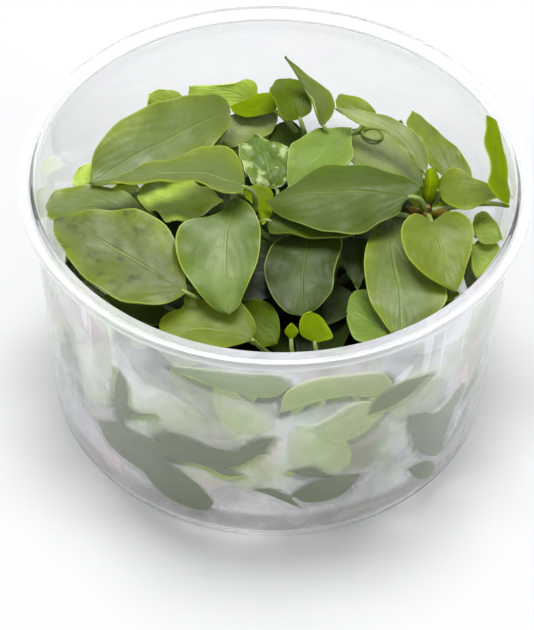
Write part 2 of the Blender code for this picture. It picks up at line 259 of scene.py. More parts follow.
def tube(name, path_points, radii, sides=8):
    """A closed tube along path points, in metres, with a radius at each."""
    path_points = np.asarray(path_points, dtype=float)
    tangents = np.gradient(path_points, axis=0)
    tangents /= np.linalg.norm(tangents, axis=1)[:, None]
    guide = np.array((0.0, 0.0, 1.0))
    if abs(tangents[0] @ guide) > 0.9:
        guide = np.array((1.0, 0.0, 0.0))
    rings = np.empty((len(path_points), sides + 1, 3))
    for number, (point, tangent, radius) in enumerate(zip(path_points, tangents, radii)):
        guide = guide - tangent * (guide @ tangent)
        guide /= np.linalg.norm(guide)
        second = np.cross(tangent, guide)
        for side in range(sides + 1):
            angle = 2.0 * pi * (side % sides) / sides
            rings[number, side] = point + radius * (cos(angle) * guide + sin(angle) * second)
    obj = bent_grid(name, rings)
    close_and_orient(obj)
    return obj


def joined(name, objects):
    """Join objects into the first of them, under a name."""
    only(objects[0])
    for obj in objects:
        obj.select_set(True)
    if len(objects) > 1:
        bpy.ops.object.join()
    whole = bpy.context.view_layer.objects.active
    whole.name = name
    whole.data.name = name
    return whole


def dress(piece, node=None, angle=50):
    """Shade a piece smooth up to an angle, and tell the frame what it is."""
    only(piece)
    bpy.ops.object.shade_smooth_by_angle(angle=radians(angle))
    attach(piece, "root")
    if node:
        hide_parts(node)


print("mesh helpers ready")

# %% [markdown]
# ## Leaf finishes
#
# A lagenandra blade is leathery and a little glossy. A pale midrib runs to the tip, and
# side veins leave it at a sharp angle and arch forwards. Each grid carries a UV map that
# runs along and across the blade, so the veins are drawn there as bands of a slanted
# phase. Slow noise on the object's own coordinates makes no two leaves quite alike, and
# a share of translucent light lets thin blades glow where the lamp is behind them.

# %% The recipe of a leaf
def leaf_material(name, middle, outer, edge, mottle=0.3, crinkle=0.06, glow=0.15, sheen=0.36,
                  pale_streak_and_highlight=0.0, painted_foot_shade=0.35):
    """A blade's finish: middle and outer colour, painted shade at the foot and shoulders, pale
    edge, blotches, veins, bump and glow.
    """
    recipe = Recipe(bpy.data.materials.new(name))
    math, mix, stretch, noise = recipe.math, recipe.mix, recipe.stretch, recipe.noise
    place = recipe.add("ShaderNodeTexCoord", out="Object")
    blade_map = recipe.add("ShaderNodeTexCoord", out="UV")
    along = recipe.add("ShaderNodeSeparateXYZ", {"Vector": blade_map}, "X")
    across = recipe.add("ShaderNodeSeparateXYZ", {"Vector": blade_map}, "Y")
    side = math("ABSOLUTE", math("MULTIPLY_ADD", across, 2.0, -1.0))

    # side veins: bands of a phase that leans forwards with distance from the midrib
    wobble = math("MULTIPLY", noise(place, 160.0), 0.08)
    phase = math("ADD", math("MULTIPLY_ADD", side, -0.42, along), wobble)
    phase = math("MULTIPLY", phase, 9.0)
    band = math("PINGPONG", phase, 0.5)
    quilt = stretch(band, 0.0, 0.5)
    finer = math("PINGPONG", math("MULTIPLY", phase, 4.0), 0.5)
    fine_vein = math("MULTIPLY", stretch(finer, 0.16, 0.0), 0.4)
    midrib = stretch(side, 0.045, 0.01)
    drawn = math("MULTIPLY", math("MAXIMUM", stretch(band, 0.07, 0.0), fine_vein), 0.06)
    drawn = math("MAXIMUM", drawn, math("MULTIPLY", midrib, 0.12))

    # colour: the middle's, then the outer part's, with soft darker blotches over both
    slow = noise(place, 70.0)
    fine = noise(place, 420.0, 4.0)
    outwards = math("ADD", side, math("MULTIPLY_ADD", slow, 0.9, -0.45))
    colour = mix(stretch(outwards, 0.25, 1.0), middle, outer)
    blotch = stretch(noise(place, 120.0, 3.0), 0.35, 0.70, 0.0, 0.40)
    colour = mix(blotch, colour, tuple(0.55 * channel for channel in middle))

    # painted shade: darker towards the foot, where the leaves above shadow a blade, and at the
    # shoulders; pale streaks on the crinkled and the brightest young leaves, partly painted
    # highlights
    painted_shade_colour = (0.45 * outer[0], 0.50 * outer[1], 0.40 * outer[2])
    foot = math("MULTIPLY_ADD", slow, 0.3, along)
    colour = mix(stretch(foot, 0.85, 0.22, 0.0, painted_foot_shade), colour, painted_shade_colour)
    painted_shoulder_shade = math("PINGPONG", math("ADD", side, slow), 0.55)
    colour = mix(stretch(painted_shoulder_shade, 0.45, 0.05, 0.0, 0.22), colour, painted_shade_colour)
    # pale streaks, partly the leaf's own and partly painted highlights on its crinkles
    if pale_streak_and_highlight:
        colour = mix(stretch(noise(place, 380.0, 3.0), 0.52, 0.66, 0.0, pale_streak_and_highlight), colour, edge)

    # fine mottling, the veins and the thin pale edge come last
    speckle = stretch(fine, 0.50, 0.74, 0.0, mottle)
    colour = mix(speckle, colour, tuple(0.45 * channel for channel in middle))
    colour = mix(drawn, colour, edge)
    colour = mix(stretch(side, 0.945, 0.985, 0.0, 0.65), colour, edge)

    height = math("ADD", math("MULTIPLY", quilt, crinkle), math("MULTIPLY", fine, 0.35))
    height = math("SUBTRACT", height, math("MULTIPLY", midrib, 0.25))
    bump = recipe.add("ShaderNodeBump", {"Strength": 0.6, "Distance": 0.0006, "Height": height})
    rough = stretch(noise(place, 260.0), 0.3, 0.7, 0.34, 0.50)
    skin = recipe.add("ShaderNodeBsdfPrincipled", {
        "Base Color": colour, "Roughness": rough, "Specular IOR Level": sheen, "Normal": bump,
    })
    lit = mix(0.6, colour, (0.50, 0.68, 0.03))
    through = recipe.add("ShaderNodeBsdfTranslucent", {"Color": lit, "Normal": bump})
    return recipe.surface(recipe.blend(glow, skin, through))


print("leaf recipe ready")

# %% [markdown]
# The leaves differ in age, light and side, so the recipe is made up fifteen times: grey and sage
# for the broad old blades, pale and ash for the powdery ones, light, bright and fresh for young
# ones, bright made paler still as painted light for blades in the shade of others, olive, moss and
# lime for the yellower ones, deep, slate and shade for those lower down, shade being a near-black
# painted shade, one crinkled leaf with pale streaks that are partly painted highlights, and
# undersides. Every finish also paints shade towards a blade's foot and at its shoulders.

# %% Fifteen leaf finishes
# finish: its material, middle colour, outer colour, edge colour, slot, what is unlike the rest
LEAF_LOOKS = {
    "deep": ("leaf_deep_green", (0.096, 0.148, 0.022), (0.078, 0.132, 0.004),
             (0.24, 0.32, 0.05), "leaf_dark", {"sheen": 0.2}),
    "slate": ("leaf_slate_green", (0.070, 0.106, 0.016), (0.036, 0.068, 0.003),
              (0.26, 0.34, 0.06), "leaf_grey_green",
              {"mottle": 0.45, "sheen": 0.24, "painted_foot_shade": 0.7}),
    "grey": ("leaf_grey_green", (0.158, 0.216, 0.050), (0.200, 0.272, 0.012),
             (0.38, 0.46, 0.06), "leaf_grey_green", {"painted_foot_shade": 0.5}),
    "sage": ("leaf_sage_green", (0.132, 0.166, 0.042), (0.178, 0.240, 0.008),
             (0.36, 0.42, 0.06), "leaf_grey_green", {"mottle": 0.9, "sheen": 0.28, "painted_foot_shade": 0.2}),
    "pale": ("leaf_pale_green", (0.178, 0.255, 0.056), (0.120, 0.200, 0.004),
             (0.38, 0.48, 0.06), "leaf_light", {"painted_foot_shade": 0.85}),
    "ash": ("leaf_ash_green", (0.320, 0.385, 0.150), (0.260, 0.325, 0.045),
            (0.42, 0.48, 0.16), "leaf_grey_green", {}),
    "light": ("leaf_light_green", (0.320, 0.440, 0.052), (0.355, 0.480, 0.040),
              (0.50, 0.60, 0.14), "leaf_light", {"crinkle": 0.10}),
    # bright: a young leaf's green raised paler, painted light for blades that lie in the shade of
    # others
    "bright": ("leaf_bright_green", (0.480, 0.660, 0.085), (0.520, 0.700, 0.070),
               (0.60, 0.72, 0.20), "leaf_light", {"crinkle": 0.10, "pale_streak_and_highlight": 0.3}),
    "fresh": ("leaf_fresh_green", (0.190, 0.305, 0.044), (0.230, 0.335, 0.034),
              (0.42, 0.54, 0.14), "leaf_light", {"crinkle": 0.10}),
    "olive": ("leaf_olive_green", (0.172, 0.228, 0.022), (0.215, 0.278, 0.012),
              (0.40, 0.48, 0.05), "leaf_olive", {"sheen": 0.25}),
    "moss": ("leaf_moss_green", (0.105, 0.160, 0.002), (0.105, 0.172, 0.001),
             (0.28, 0.38, 0.02), "leaf_dark", {"sheen": 0.12}),
    "lime": ("leaf_lime_green", (0.185, 0.275, 0.001), (0.240, 0.330, 0.001),
             (0.38, 0.48, 0.01), "leaf_olive", {"glow": 0.22, "sheen": 0.06}),
    "crinkled": ("leaf_crinkled_green", (0.118, 0.205, 0.030), (0.160, 0.255, 0.016),
                 (0.52, 0.62, 0.28), "leaf_light", {"pale_streak_and_highlight": 0.75}),
    "under": ("leaf_underside", (0.112, 0.150, 0.052), (0.108, 0.150, 0.040),
              (0.13, 0.18, 0.05), "leaf_grey_green", {"mottle": 0.4, "sheen": 0.15}),
    # shade: a near-black green, painted shade for the leaves low in the heap
    "shade": ("leaf_shade_green", (0.018, 0.030, 0.005), (0.024, 0.042, 0.003),
              (0.05, 0.08, 0.01), "leaf_dark", {"glow": 0.03, "sheen": 0.2}),
}
LEAF_FINISHES = {
    finish: leaf_material(*colours, **unlike)
    for finish, (*colours, slot, unlike) in LEAF_LOOKS.items()
}
print("leaf finishes:", ", ".join(LEAF_FINISHES))

# %% [markdown]
# Stalks are smooth and pale green, browner in blotches. Stalks, rhizomes and roots all
# start the same way, with two colours in soft blotches, so that start is one helper.

# %% The stalks' finish
def blotched(name, scale, first, second):
    """A recipe begun with two colours in soft blotches; returns it, its place and colour."""
    recipe = Recipe(bpy.data.materials.new(name))
    place = recipe.add("ShaderNodeTexCoord", out="Object")
    blotch = recipe.stretch(recipe.noise(place, scale), 0.35, 0.65)
    return recipe, place, recipe.mix(blotch, first, second)


recipe, place, colour = blotched("stalk_pale_green", 220.0, (0.12, 0.20, 0.03), (0.20, 0.28, 0.06))
rough = recipe.stretch(recipe.noise(place, 500.0), 0.3, 0.7, 0.32, 0.48)
skin = recipe.add("ShaderNodeBsdfPrincipled", {"Base Color": colour, "Roughness": rough})
STALK_GREEN = recipe.surface(skin)
print("stalk finish:", STALK_GREEN.name)

# %% [markdown]
# ## The leaves of the heap
#
# Each row is a leaf's plan: its rhizome, the height of the stalk's foot, the place of the
# blade's base, where it points and how it bends, its size and its fold. The rows repeat the
# packed source's, apart from ten whose blades stand 0.1 to 2.9 mm from their solids' place:
# leaf_19, 22, 27, 38, 40 to 44 and 49. The blade's surface is a swept line of cross sections.

# %% Plan the leaves
# rhizome: its place and the height of its crown, in millimetres
RHIZOMES = {
    "back_left": (-9, 27, 34),
    "back_right": (8, 33, 36),
    "middle": (-4, 8, 37),
    "left": (-28, 7, 32),
    "right": (31, 10, 41),
    "centre": (12, 3, 33),
    "front_left": (-14, -15, 29),
    "front_right": (14, -20, 26),
}
FIELDS = "rhizome foot x y z heading pitch bend roll length width fold curve finish".split()
LEAVES = {
    "leaf_01": ("front_left", 13, -34, -28, 19, -48, -16, 6, 88, 27, 10, 0, 34, "under"),
    "leaf_02": ("front_left", 20, -28, -33, 27, -101, 80, 8, 0, 14, 5, 0, 0, "under"),
    "leaf_03": ("front_left", 17, -20, -39, 26, -28, -14, 40, 88, 23, 8, 0, 30, "under"),
    "leaf_04": ("front_right", 12, 5, -43, 13, 7, 12, 4, 88, 14, 6, 0, 18, "under"),
    "leaf_05": ("front_right", 13, 28, -33, 13, 46, 50, 6, 88, 24, 10, 0, 26, "under"),
    "leaf_06": ("front_right", 16, 36, -22, 20, -32, 82, 4, 0, 23, 9, 0, 0, "under"),
    "leaf_07": ("left", 14, -37, -22, 16, -149, 84, 4, 0, 22, 9, 0, 0, "slate"),
    "leaf_08": ("front_right", 20, 19, -38, 33, -152, -12, 14, 84, 14, 8, 0, -20, "light"),
    "leaf_09": ("back_right", 14, 25, 34, 17, 53, 84, 4, 0, 24, 14, 0, 0, "deep"),
    "leaf_10": ("back_left", 14, -15, 39, 15, 112, 84, 4, 0, 25, 15, 0, 0, "slate"),
    "leaf_11": ("left", 16, -40, 11, 18, 164, 84, 4, 0, 20, 12, 0, 0, "deep"),
    "leaf_12": ("right", 17, 42, 4, 16, 6, 84, 4, 0, 21, 11, 0, 0, "deep"),
    "leaf_13": ("front_left", 25, -20, -12, 30, 178, 10, -10, 0, 15, 9, 8, 0, "deep"),
    "leaf_14": ("front_right", 25, 9, -27, 31, 98, 50, -20, 0, 12, 9, 8, 0, "lime"),
    "leaf_15": ("front_right", 18, 3.5, -27, 32, 90, 60, -20, 0, 9, 4, 8, 0, "lime"),
    "leaf_16": ("front_left", 27, -7, -9, 31, -60, 10, -30, 0, 15, 9, 14, 0, "moss"),
    "leaf_17": ("front_right", 22, -1, -22, 34, 165, 15, -20, -10, 20, 13, 8, 0, "olive"),
    "leaf_18": ("front_right", 25, 23.5, -10.5, 33, -133, 20, -20, 0, 14, 13, 8, 0, "fresh"),
    "leaf_19": ("back_left", 30, 1.5, 27.5, 35.0, 88, 25, -20, 0, 10, 8, 10, 0, "deep"),
    "leaf_20": ("back_left", 31, -6.5, 31.5, 38, 50, 12, -20, -10, 9.5, 7.5, 8, -50, "ash"),
    "leaf_21": ("back_left", 22, -5.5, 41, 38, 184, 45, -60, -50, 13, 8, 8, 6, "bright"),
    "leaf_22": ("back_right", 33, 1.5, 36.5, 39.9, 155, 35, -50, 0, 6, 7, 8, 0, "lime"),
    "leaf_23": ("back_left", 32, -22.5, 33, 39, 118, 60, -10, 0, 9, 9, 8, 0, "bright"),
    "leaf_24": ("left", 31, -36.5, 13, 40, 130, 15, -20, 0, 7, 8, 8, 0, "bright"),
    "leaf_25": ("centre", 31, 6.5, 1, 38, -98, -5, -20, 0, 17, 14, 8, 0, "slate"),
    "leaf_26": ("centre", 29, 17, 5, 36, -78, -5, -30, 0, 12, 6, 10, 0, "slate"),
    "leaf_27": ("left", 31.5, -28, 5, 40.5, 178, 6, -14, 0, 16, 13, 8, 0, "grey"),
    "leaf_28": ("left", 29, -17, -14, 41, 155, 12, -18, -12, 29.5, 19, 8, 0, "sage"),
    "leaf_29": ("left", 31, -26, 9.5, 39.5, -14, 12, -16, -10, 16.5, 13, 12, 0, "bright"),
    "leaf_30": ("right", 36, 38, 0, 39, -50, 0, -30, 0, 9, 8, 8, 0, "light"),
    "leaf_31": ("right", 38, 38, 4, 41, -25, 10, -30, 0, 8, 8, 8, 0, "light"),
    "leaf_32": ("right", 37, 24, 6, 40, -84, 2, -22, 0, 29, 16, 8, 10, "grey"),
    "leaf_33": ("right", 39, 31, 3, 44, -75, 0, -26, 0, 16, 15, 10, 0, "olive"),
    "leaf_34": ("centre", 26, 0.5, 2.5, 41, 0, 4, -10, 5, 16, 9, 12, 0, "deep"),
    "leaf_35": ("middle", 34, -1, 14, 39.5, 112, 10, -20, 0, 15, 12, 12, 0, "crinkled"),
    "leaf_36": ("right", 32, 29, 21.5, 39, 142, 10, -16, 0, 15, 12, 10, 0, "ash"),
    "leaf_37": ("back_right", 34, 19.5, 35, 42, 138, 20, -30, 0, 9, 8, 8, 0, "olive"),
    "leaf_38": ("centre", 31, 3.5, 14, 42.1, 55, 8, -18, -10, 20, 15, 10, 0, "fresh"),
    "leaf_39": ("right", 37, 35, 14.5, 40, 98, 20, -20, 0, 21, 9.5, 14, 20, "olive"),
    "leaf_40": ("right", 40, 29.5, 16.5, 43.3, 124, 30, -50, -20, 24, 7.5, 12, 27, "ash"),
    "leaf_41": ("middle", 33, -5.5, 13, 41.8, -45, 5, -30, 0, 8.5, 6, 14, 0, "lime"),
    "leaf_42": ("right", 40, 28, 9, 47.7, 184, 4, -22, -6, 30, 19, -20, 0, "deep"),
    "leaf_43": ("middle", 30, -10.7, 7.5, 45.9, -89, 5, -42, 0, 28, 17, 8, 0, "pale"),
    "leaf_44": ("back_left", 33, -11.5, 31, 43.1, -136, 12, -24, -22, 32.5, 19, 8, -15, "grey"),
    "leaf_45": ("middle", 37, -6.5, 6.2, 48.5, 175, 14, -34, 18, 30, 16, 14, 6, "grey"),
    "leaf_46": ("back_right", 35, 5.5, 32, 43, 115, 35, -60, 0, 13, 10, 14, 0, "moss"),
    "leaf_47": ("back_right", 35, 10.5, 32, 42.5, 136, 42, 0, 18, 17, 8, 30, 0, "grey"),
    "leaf_48": ("right", 40, 33.5, 12.5, 44, -17, 20, -10, 10, 10.5, 9, 10, 0, "olive"),
    "leaf_49": ("right", 40.5, 44.0, -1, 53, 88, 15, 4, 38, 20.5, 7, 8, 14, "lime"),
}
print(len(LEAVES), "leaves planned")

# %% [markdown]
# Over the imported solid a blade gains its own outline. An outline is two lines from the
# base to the tip, left and right of the midrib, each a few measured corners as distance
# along the axis and across it, in millimetres. The right line is listed without its ends,
# because it shares them with the left one.

# %% Give the measured outlines
OUTLINES = {
    "leaf_13": ([(1.2, -1.8), (1.2, 2.5), (5.5, 3.5), (10.2, 0.5), (13.8, -2.5)], [(6, -4),
        (11.2, -4.2), (13.5, -3.2)]),
    "leaf_14": ([(6, -0.2), (8, 2.5), (10, 2.5), (11.5, 1.5), (12, 0)], [(6.8, -3.8), (9, -3),
        (11, -1.8)]),
    "leaf_15": ([(5.8, -0.5), (7.5, 0.8), (9, -0.5)], [(7.5, -1.8)]),
    "leaf_16": ([(2, -2), (0.2, 1.2), (2, 3.8), (4, 5.2), (7, 5.2), (10.5, 4.2), (13, 2.2)],
        [(6.2, -3.8), (11, -3)]),
    "leaf_17": ([(2.5, 0.8), (6, 4.2), (11.2, 7), (16.8, 7.5), (20, 5.8)], [(3.2, -3), (6.8, -5.8),
        (11.8, -7.5), (15.8, -7.2), (18, -5.2), (17.5, -1.8), (19.8, -0.5), (21, 1.5)]),
    "leaf_18": ([(7.2, 6.2), (11.8, 6.5), (13.5, 3.2), (11.5, -1), (8.8, -3.8)], [(5.2, 3.8),
        (2.2, -0.8), (0.8, -4), (0.8, -6), (3, -6.5), (6, -5.8)]),
    "leaf_19": ([(3, 0.2), (4.2, 3.5), (6.5, 3.2), (9, 1.8), (10.8, -0.5)], [(4.2, -3.5),
        (7.2, -4.2), (9.5, -2.5)]),
    "leaf_20": ([(-3.2, 4), (-0.5, 6.8), (1.2, 7.5), (2.5, 7.2), (5, 5.2), (8.2, 4.2)], [(-3, 1),
        (-1, -0.8), (1.8, -2.8), (6, -2), (8, 1.5)]),
    "leaf_21": ([(-0.8, 0), (1.8, 1.5), (4.5, 1.8), (8.8, 0.8), (11.8, -0.5), (13.8, -1.2),
        (13.2, -3)], [(0.5, -3), (2, -5.2), (3, -5.2), (5.2, -3.5), (9.5, -2.5)]),
    "leaf_22": ([(2.2, 0.2), (4.2, 3.5), (7, 4.8), (9.5, 4.5), (11.8, 2.5)], [(3, -2.2), (5, -3.5),
        (7.5, -3.5), (9.8, -2.8), (12.5, -1.2)]),
    "leaf_23": ([(4.2, -1.2), (4.8, 1), (6, 3.5), (8, 2.5)], [(5.5, -4.5), (6.8, -3.8),
        (7.8, -1.8), (8.5, 0.5)]),
    "leaf_24": ([(1.8, -0.2), (2, 2.5), (3.2, 3.2), (5.2, 1.5), (6.5, -0.8)], [(4.2, -2.2),
        (6, -3)]),
    "leaf_25": ([(-2.5, -0.2), (-3, 3.5), (-2, 7), (2.2, 7.2), (6.2, 6.8), (10.2, 7), (13, 5.8),
        (14.8, 4.2), (16.2, 1.8)], [(-1.5, -3.5), (0.5, -6.2), (4.8, -7.2), (8, -7.2),
        (10.5, -6.2), (13, -4.8), (15, -2.8), (16, -1)]),
    "leaf_26": ([(-0.8, -0.8), (0.8, 1.8), (4.8, 1), (8.2, 0), (11.2, -2.2)], [(0.2, -3.5),
        (3.5, -4.5), (6.8, -3.8), (9.2, -3)]),
    "leaf_27": ([(-2.8, -1.2), (-0.2, 1), (4.8, 2.8), (9.8, 3.2), (14.8, 2.8), (17.5, 0.8),
        (19, -2)], [(-0.8, -3), (1.5, -5), (4.2, -6.5), (6.8, -7.2), (10.2, -7.2), (12.8, -7),
        (15.8, -6), (18, -4.5)]),
    "leaf_28": ([(-0.8, 1.2), (-0.5, 2.8), (1.2, 5.8), (4.5, 8.2), (8, 9.8), (12, 9.8),
        (15.5, 9.2), (21, 6.8), (26, 3.2), (29.5, 0.2), (30.8, -2.5)], [(0.8, -1.5), (3.5, -3.8),
        (5.5, -6.5), (8.2, -8.8), (11, -10), (13.8, -10), (16.8, -9.8), (20.8, -8), (24.5, -6.5),
        (27.8, -4.8)]),
    "leaf_29": ([(-2.8, 2.8), (-2, 5.5), (-0.2, 7.2), (3.2, 8.2), (7, 7.8), (11.2, 6.5),
        (15, 4.5)], [(-1.8, 1), (0.5, -1.2), (3.5, -3.5), (7, -7), (8.2, -7.8), (9.8, -4.8),
        (11.8, -1), (14, 2)]),
    "leaf_30": ([(1.2, 1.2), (0.2, 3.8), (1, 5.2), (2.8, 6.2), (4.8, 6), (5.8, 2.8), (6.8, -2.2)],
        [(3, -0.5), (5, -2)]),
    "leaf_31": ([(3, -1), (1.2, 2), (1, 4.2), (2.2, 5.8), (4.8, 4.5), (8, 1)], [(5, -2),
        (6.8, -1)]),
    "leaf_32": ([(-1.8, -0.5), (-0.2, 2.5), (5.5, 3.2), (11.2, 4.8), (16.8, 6.8), (20, 7.5),
        (21.8, 6.8), (24.2, 4), (27, 0.2), (28.2, -3.8)], [(0.5, -3), (3.8, -5.2), (8.2, -7),
        (13, -8), (17.5, -8.2), (21.8, -7.5), (26, -5.8)]),
    "leaf_33": ([(1, 0.2), (-0.2, 1.8), (-1.2, 3.8), (-0.5, 6), (2, 7.5), (5.8, 7.5), (8.8, 6.2),
        (12.2, 4.2), (15.8, 2), (17, 0.8)], [(-0.8, -0.5), (-2, -2.2), (-1, -4.5), (3, -7),
        (6.8, -7.5), (10.8, -6.2), (13.5, -4.2), (15.2, -1.8)]),
    "leaf_34": ([(-1.8, 2), (0.8, 2.5), (5.8, 1.8), (11.8, 1.5), (17.8, 3.5), (20.8, 4.2)],
        [(-1, -1.5), (2.8, -2), (6.8, -2.5), (10.8, -2.8), (14.8, -1.5), (18.2, 1)]),
    "leaf_35": ([(0, -1.5), (1.5, 0.5), (3, 2.5), (6.8, 3), (10.8, 2.5), (14.2, 1.5), (16.2, 0),
        (15.8, -2.5)], [(1, -4.8), (3, -7), (6.8, -8), (10.2, -7.2), (12.8, -5.5)]),
    "leaf_36": ([(-3, 1.8), (1.5, 4), (5, 6.2), (8.8, 8), (11.5, 7.5), (15.5, 2.2), (18, -1.8)],
        [(-0.2, -1.5), (3, -2.5), (7.2, -4), (11.5, -5), (14.5, -4.8), (16.8, -3.5)]),
    "leaf_37": ([(1.2, 2), (3.5, 4.2), (5.8, 4), (8.2, 1.8)], [(0, -1.8), (2, -2), (4.5, -1.8),
        (7, -1.2), (9.2, -0.5)]),
    "leaf_38": ([(-1.2, -0.2), (1, 2), (5, 4.8), (8.5, 6.5), (11.8, 6.8), (15, 6), (18, 4.2),
        (20.8, 2.8), (22.2, 0.8)], [(1.8, -1), (4.5, -2.2), (7, -5.2), (8.5, -8), (10.8, -7.5),
        (16.2, -3.5)]),
    "leaf_39": ([(3.5, -1.8), (5, 0.5), (7, 2.2), (10.2, 2.2), (14.5, 1.8), (16.8, 2.5), (19, 3),
        (22.2, -0.2)], [(2.2, -5.8), (4.2, -6), (7, -5.2), (10.5, -4.2), (13.5, -2.8),
        (17.5, -1.8), (20.8, -1.2)]),
    "leaf_40": ([(-0.2, -1.2), (1.5, -0.2), (4.2, -0.5), (8, -0.5), (12, -0.2), (15, 0.5),
        (17.5, 1.2), (21.2, 0.5), (25, -1.2)], [(2, -3), (4.8, -4), (7.5, -4.2), (10.5, -3.8),
        (13.8, -3.2), (16.8, -2.5), (19.5, -2), (22.2, -1.8)]),
    "leaf_41": ([(0.8, -2.5), (0.5, 0.5), (2.2, 2.2), (4.5, 2.8), (6, 0.8), (8.2, -1), (9, -4.8)],
        [(3.8, -3), (6.2, -3.2)]),
    "leaf_42": ([(0.8, 2.5), (2.8, 4), (3.2, 5.5), (4.8, 6.8), (7.8, 8.2), (10.8, 9.5), (14.5, 10),
        (19, 8.8), (23, 7), (26.8, 4.5), (29.2, 2.2), (30.2, -0.2)], [(-0.5, 1.2), (-1, 0.2),
        (0.5, -1.5), (2.2, -3.2), (4.8, -5), (8.5, -7.5), (12, -8.8), (15.5, -9), (19.2, -8.5),
        (22.2, -6.5), (24.2, -3.8), (26.2, -2.2)]),
    "leaf_43": ([(1.5, 2.2), (3.2, 4.5), (6, 6.5), (9.2, 7.8), (13.2, 8), (17.5, 7.5), (21, 6.2),
        (24.2, 4.8), (27, 3.5), (28, 2)], [(3, 1), (5.5, 0.5), (7.5, -1.8), (8.2, -5), (9.5, -7.8),
        (12.5, -8.8), (16.8, -8.5), (19.8, -7.2), (22.2, -5.5), (25, -3.2), (27.2, -0.5)]),
    "leaf_44": ([(-3.5, -1.5), (-1.8, 1), (2, 2.8), (4.8, 4), (10, 5.8), (18, 6), (25.8, 4.2),
        (29.8, 2.2), (32.5, 0.2)], [(-4.2, -3.5), (-3.2, -5.2), (1.2, -7.2), (6, -8.2),
        (9.5, -8.8), (14, -9), (18.2, -9), (22, -8.5), (25.8, -7), (29.2, -4.8), (31.2, -2.2)]),
    "leaf_45": ([(-0.5, -0.5), (0.5, 5), (2, 7), (3.8, 5.8), (5.5, 4.2), (8.5, 3.4), (12.2, 3.2),
        (16.2, 3.4), (20, 3.8), (24.8, 3), (30.2, -0.5)], [(0, -3.8), (1, -7.2), (3, -10.5),
        (5.2, -12), (7.5, -11), (11.2, -8), (15, -5.5), (19, -4.2), (22.8, -2.8), (26.8, -1)]),
    "leaf_46": ([(0.8, 0.5), (1, 3.5), (2.5, 4.8), (4.8, 4.5), (7.5, 4.8), (10.2, 3), (13.5, -0.2),
        (11.8, -2)], [(1.5, -2.2), (3, -3), (6, -3.2), (9.2, -3.2)]),
    "leaf_47": ([(0, 2.8), (3.8, 4.2), (7, 0.5), (10, 0.5), (12.5, 0), (16.5, 0.8)], [(1, -2.5),
        (2.5, -4.2), (4.5, -4.5), (7.2, -3.5), (11.2, -2)]),
    "leaf_48": ([(-0.5, -0.8), (-0.8, 2), (0.8, 4), (3.2, 4.2), (6.2, 2.5), (9.2, 1.5),
        (13, -1.8)], [(1.8, -4), (5.2, -6.2), (7.8, -5.8), (10.2, -3.8)]),
    "leaf_49": ([(0.2, -1.8), (1.2, 1.5), (3, 3), (6.8, 2.5), (11, 3.2), (14.5, 3.2), (18.2, 2),
        (19.8, 1)], [(4, -2.2), (8, -2.5), (12.5, -2.5), (16.2, -2.2), (18.8, -1)]),
}


def with_ends(left, right):
    """Two lines, the second given the ends of the first."""
    return left, [left[0], *right, left[-1]]


OUTLINES = {node: with_ends(*lines) for node, lines in OUTLINES.items()}
print(len(OUTLINES), "outlines")

# %% [markdown]
# ## A blade on its swept surface
#
# A leaf's middle line turns and bends evenly from base to tip, and carries cross sections
# with it. A blade's grid fills its outline, is laid on that surface, and is then folded
# along the midrib, rippled at the edge and, on young leaves, puckered.

# %% The swept line and the outline's grid
BLADE_ROWS = 36
BLADE_COLUMNS = 21
LINE_STEPS = 96


def line_of(leaf):
    """Share, centre, side, normal and direction at even steps from base to tip, in mm."""
    share = np.linspace(0.0, 1.0, LINE_STEPS + 1)
    heading = np.radians(leaf["heading"] + leaf["curve"] * share)
    pitch = np.radians(leaf["pitch"] + leaf["bend"] * share)
    level_share = np.cos(pitch)
    along = [np.cos(heading) * level_share, np.sin(heading) * level_share, np.sin(pitch)]
    along = np.stack(along, axis=1)
    level = np.stack([-np.sin(heading), np.cos(heading), np.zeros(LINE_STEPS + 1)], axis=1)
    roll = radians(leaf["roll"])
    side = cos(roll) * level + sin(roll) * np.cross(along, level)
    normal = np.cross(along, side)
    moves = 0.5 * (along[1:] + along[:-1]) * leaf["length"] / LINE_STEPS
    base = (leaf["x"], leaf["y"], leaf["z"])
    centre = np.vstack([np.zeros(3), np.cumsum(moves, axis=0)]) + base
    return share, centre, side, normal, along


def frame_at(leaf, distance):
    """Centre, side, normal and direction at distances along the line, also past its ends."""
    share, *lines = line_of(leaf)
    at = np.clip(distance / leaf["length"], 0.0, 1.0)
    centre, side, normal, along = [
        np.stack([np.interp(at, share, line[:, axis]) for axis in range(3)], axis=-1)
        for line in lines
    ]
    centre = centre + along * (distance - at * leaf["length"])[..., None]
    return centre, side, normal, along


def eased(count):
    """Shares from 0 to 1 that lie closer together towards both ends."""
    return 0.5 - 0.5 * np.cos(pi * np.linspace(0.0, 1.0, count))


def smooth_line(corners, count):
    """A smooth line through measured corners, resampled to a count of points."""
    corners = np.array(corners, dtype=float)
    steps = np.linalg.norm(np.diff(corners, axis=0), axis=1)
    reach = np.concatenate([[0.0], np.cumsum(steps)])
    slopes = np.gradient(corners, reach, axis=0)
    place = eased(count) * reach[-1]
    piece = np.clip(np.searchsorted(reach, place, side="right") - 1, 0, len(corners) - 2)
    span = (reach[piece + 1] - reach[piece])[:, None]
    t = (place[:, None] - reach[piece][:, None]) / span
    start, end = corners[piece], corners[piece + 1]
    leave, arrive = slopes[piece] * span, slopes[piece + 1] * span
    return (
        (2 * t**3 - 3 * t**2 + 1) * start + (t**3 - 2 * t**2 + t) * leave
        + (3 * t**2 - 2 * t**3) * end + (t**3 - t**2) * arrive
    )


def plain_outline(leaf):
    """An oval with a rounded base, widest before the middle, and a pointed tip."""
    share = np.linspace(0.0, 1.0, 13)
    half = 0.5 * leaf["width"] * np.clip(np.sin(pi * share ** 0.78), 0.0, None) ** 0.62
    half[0] = half[-1] = 0.0
    return list(zip(leaf["length"] * share, half)), list(zip(leaf["length"] * share, -half))


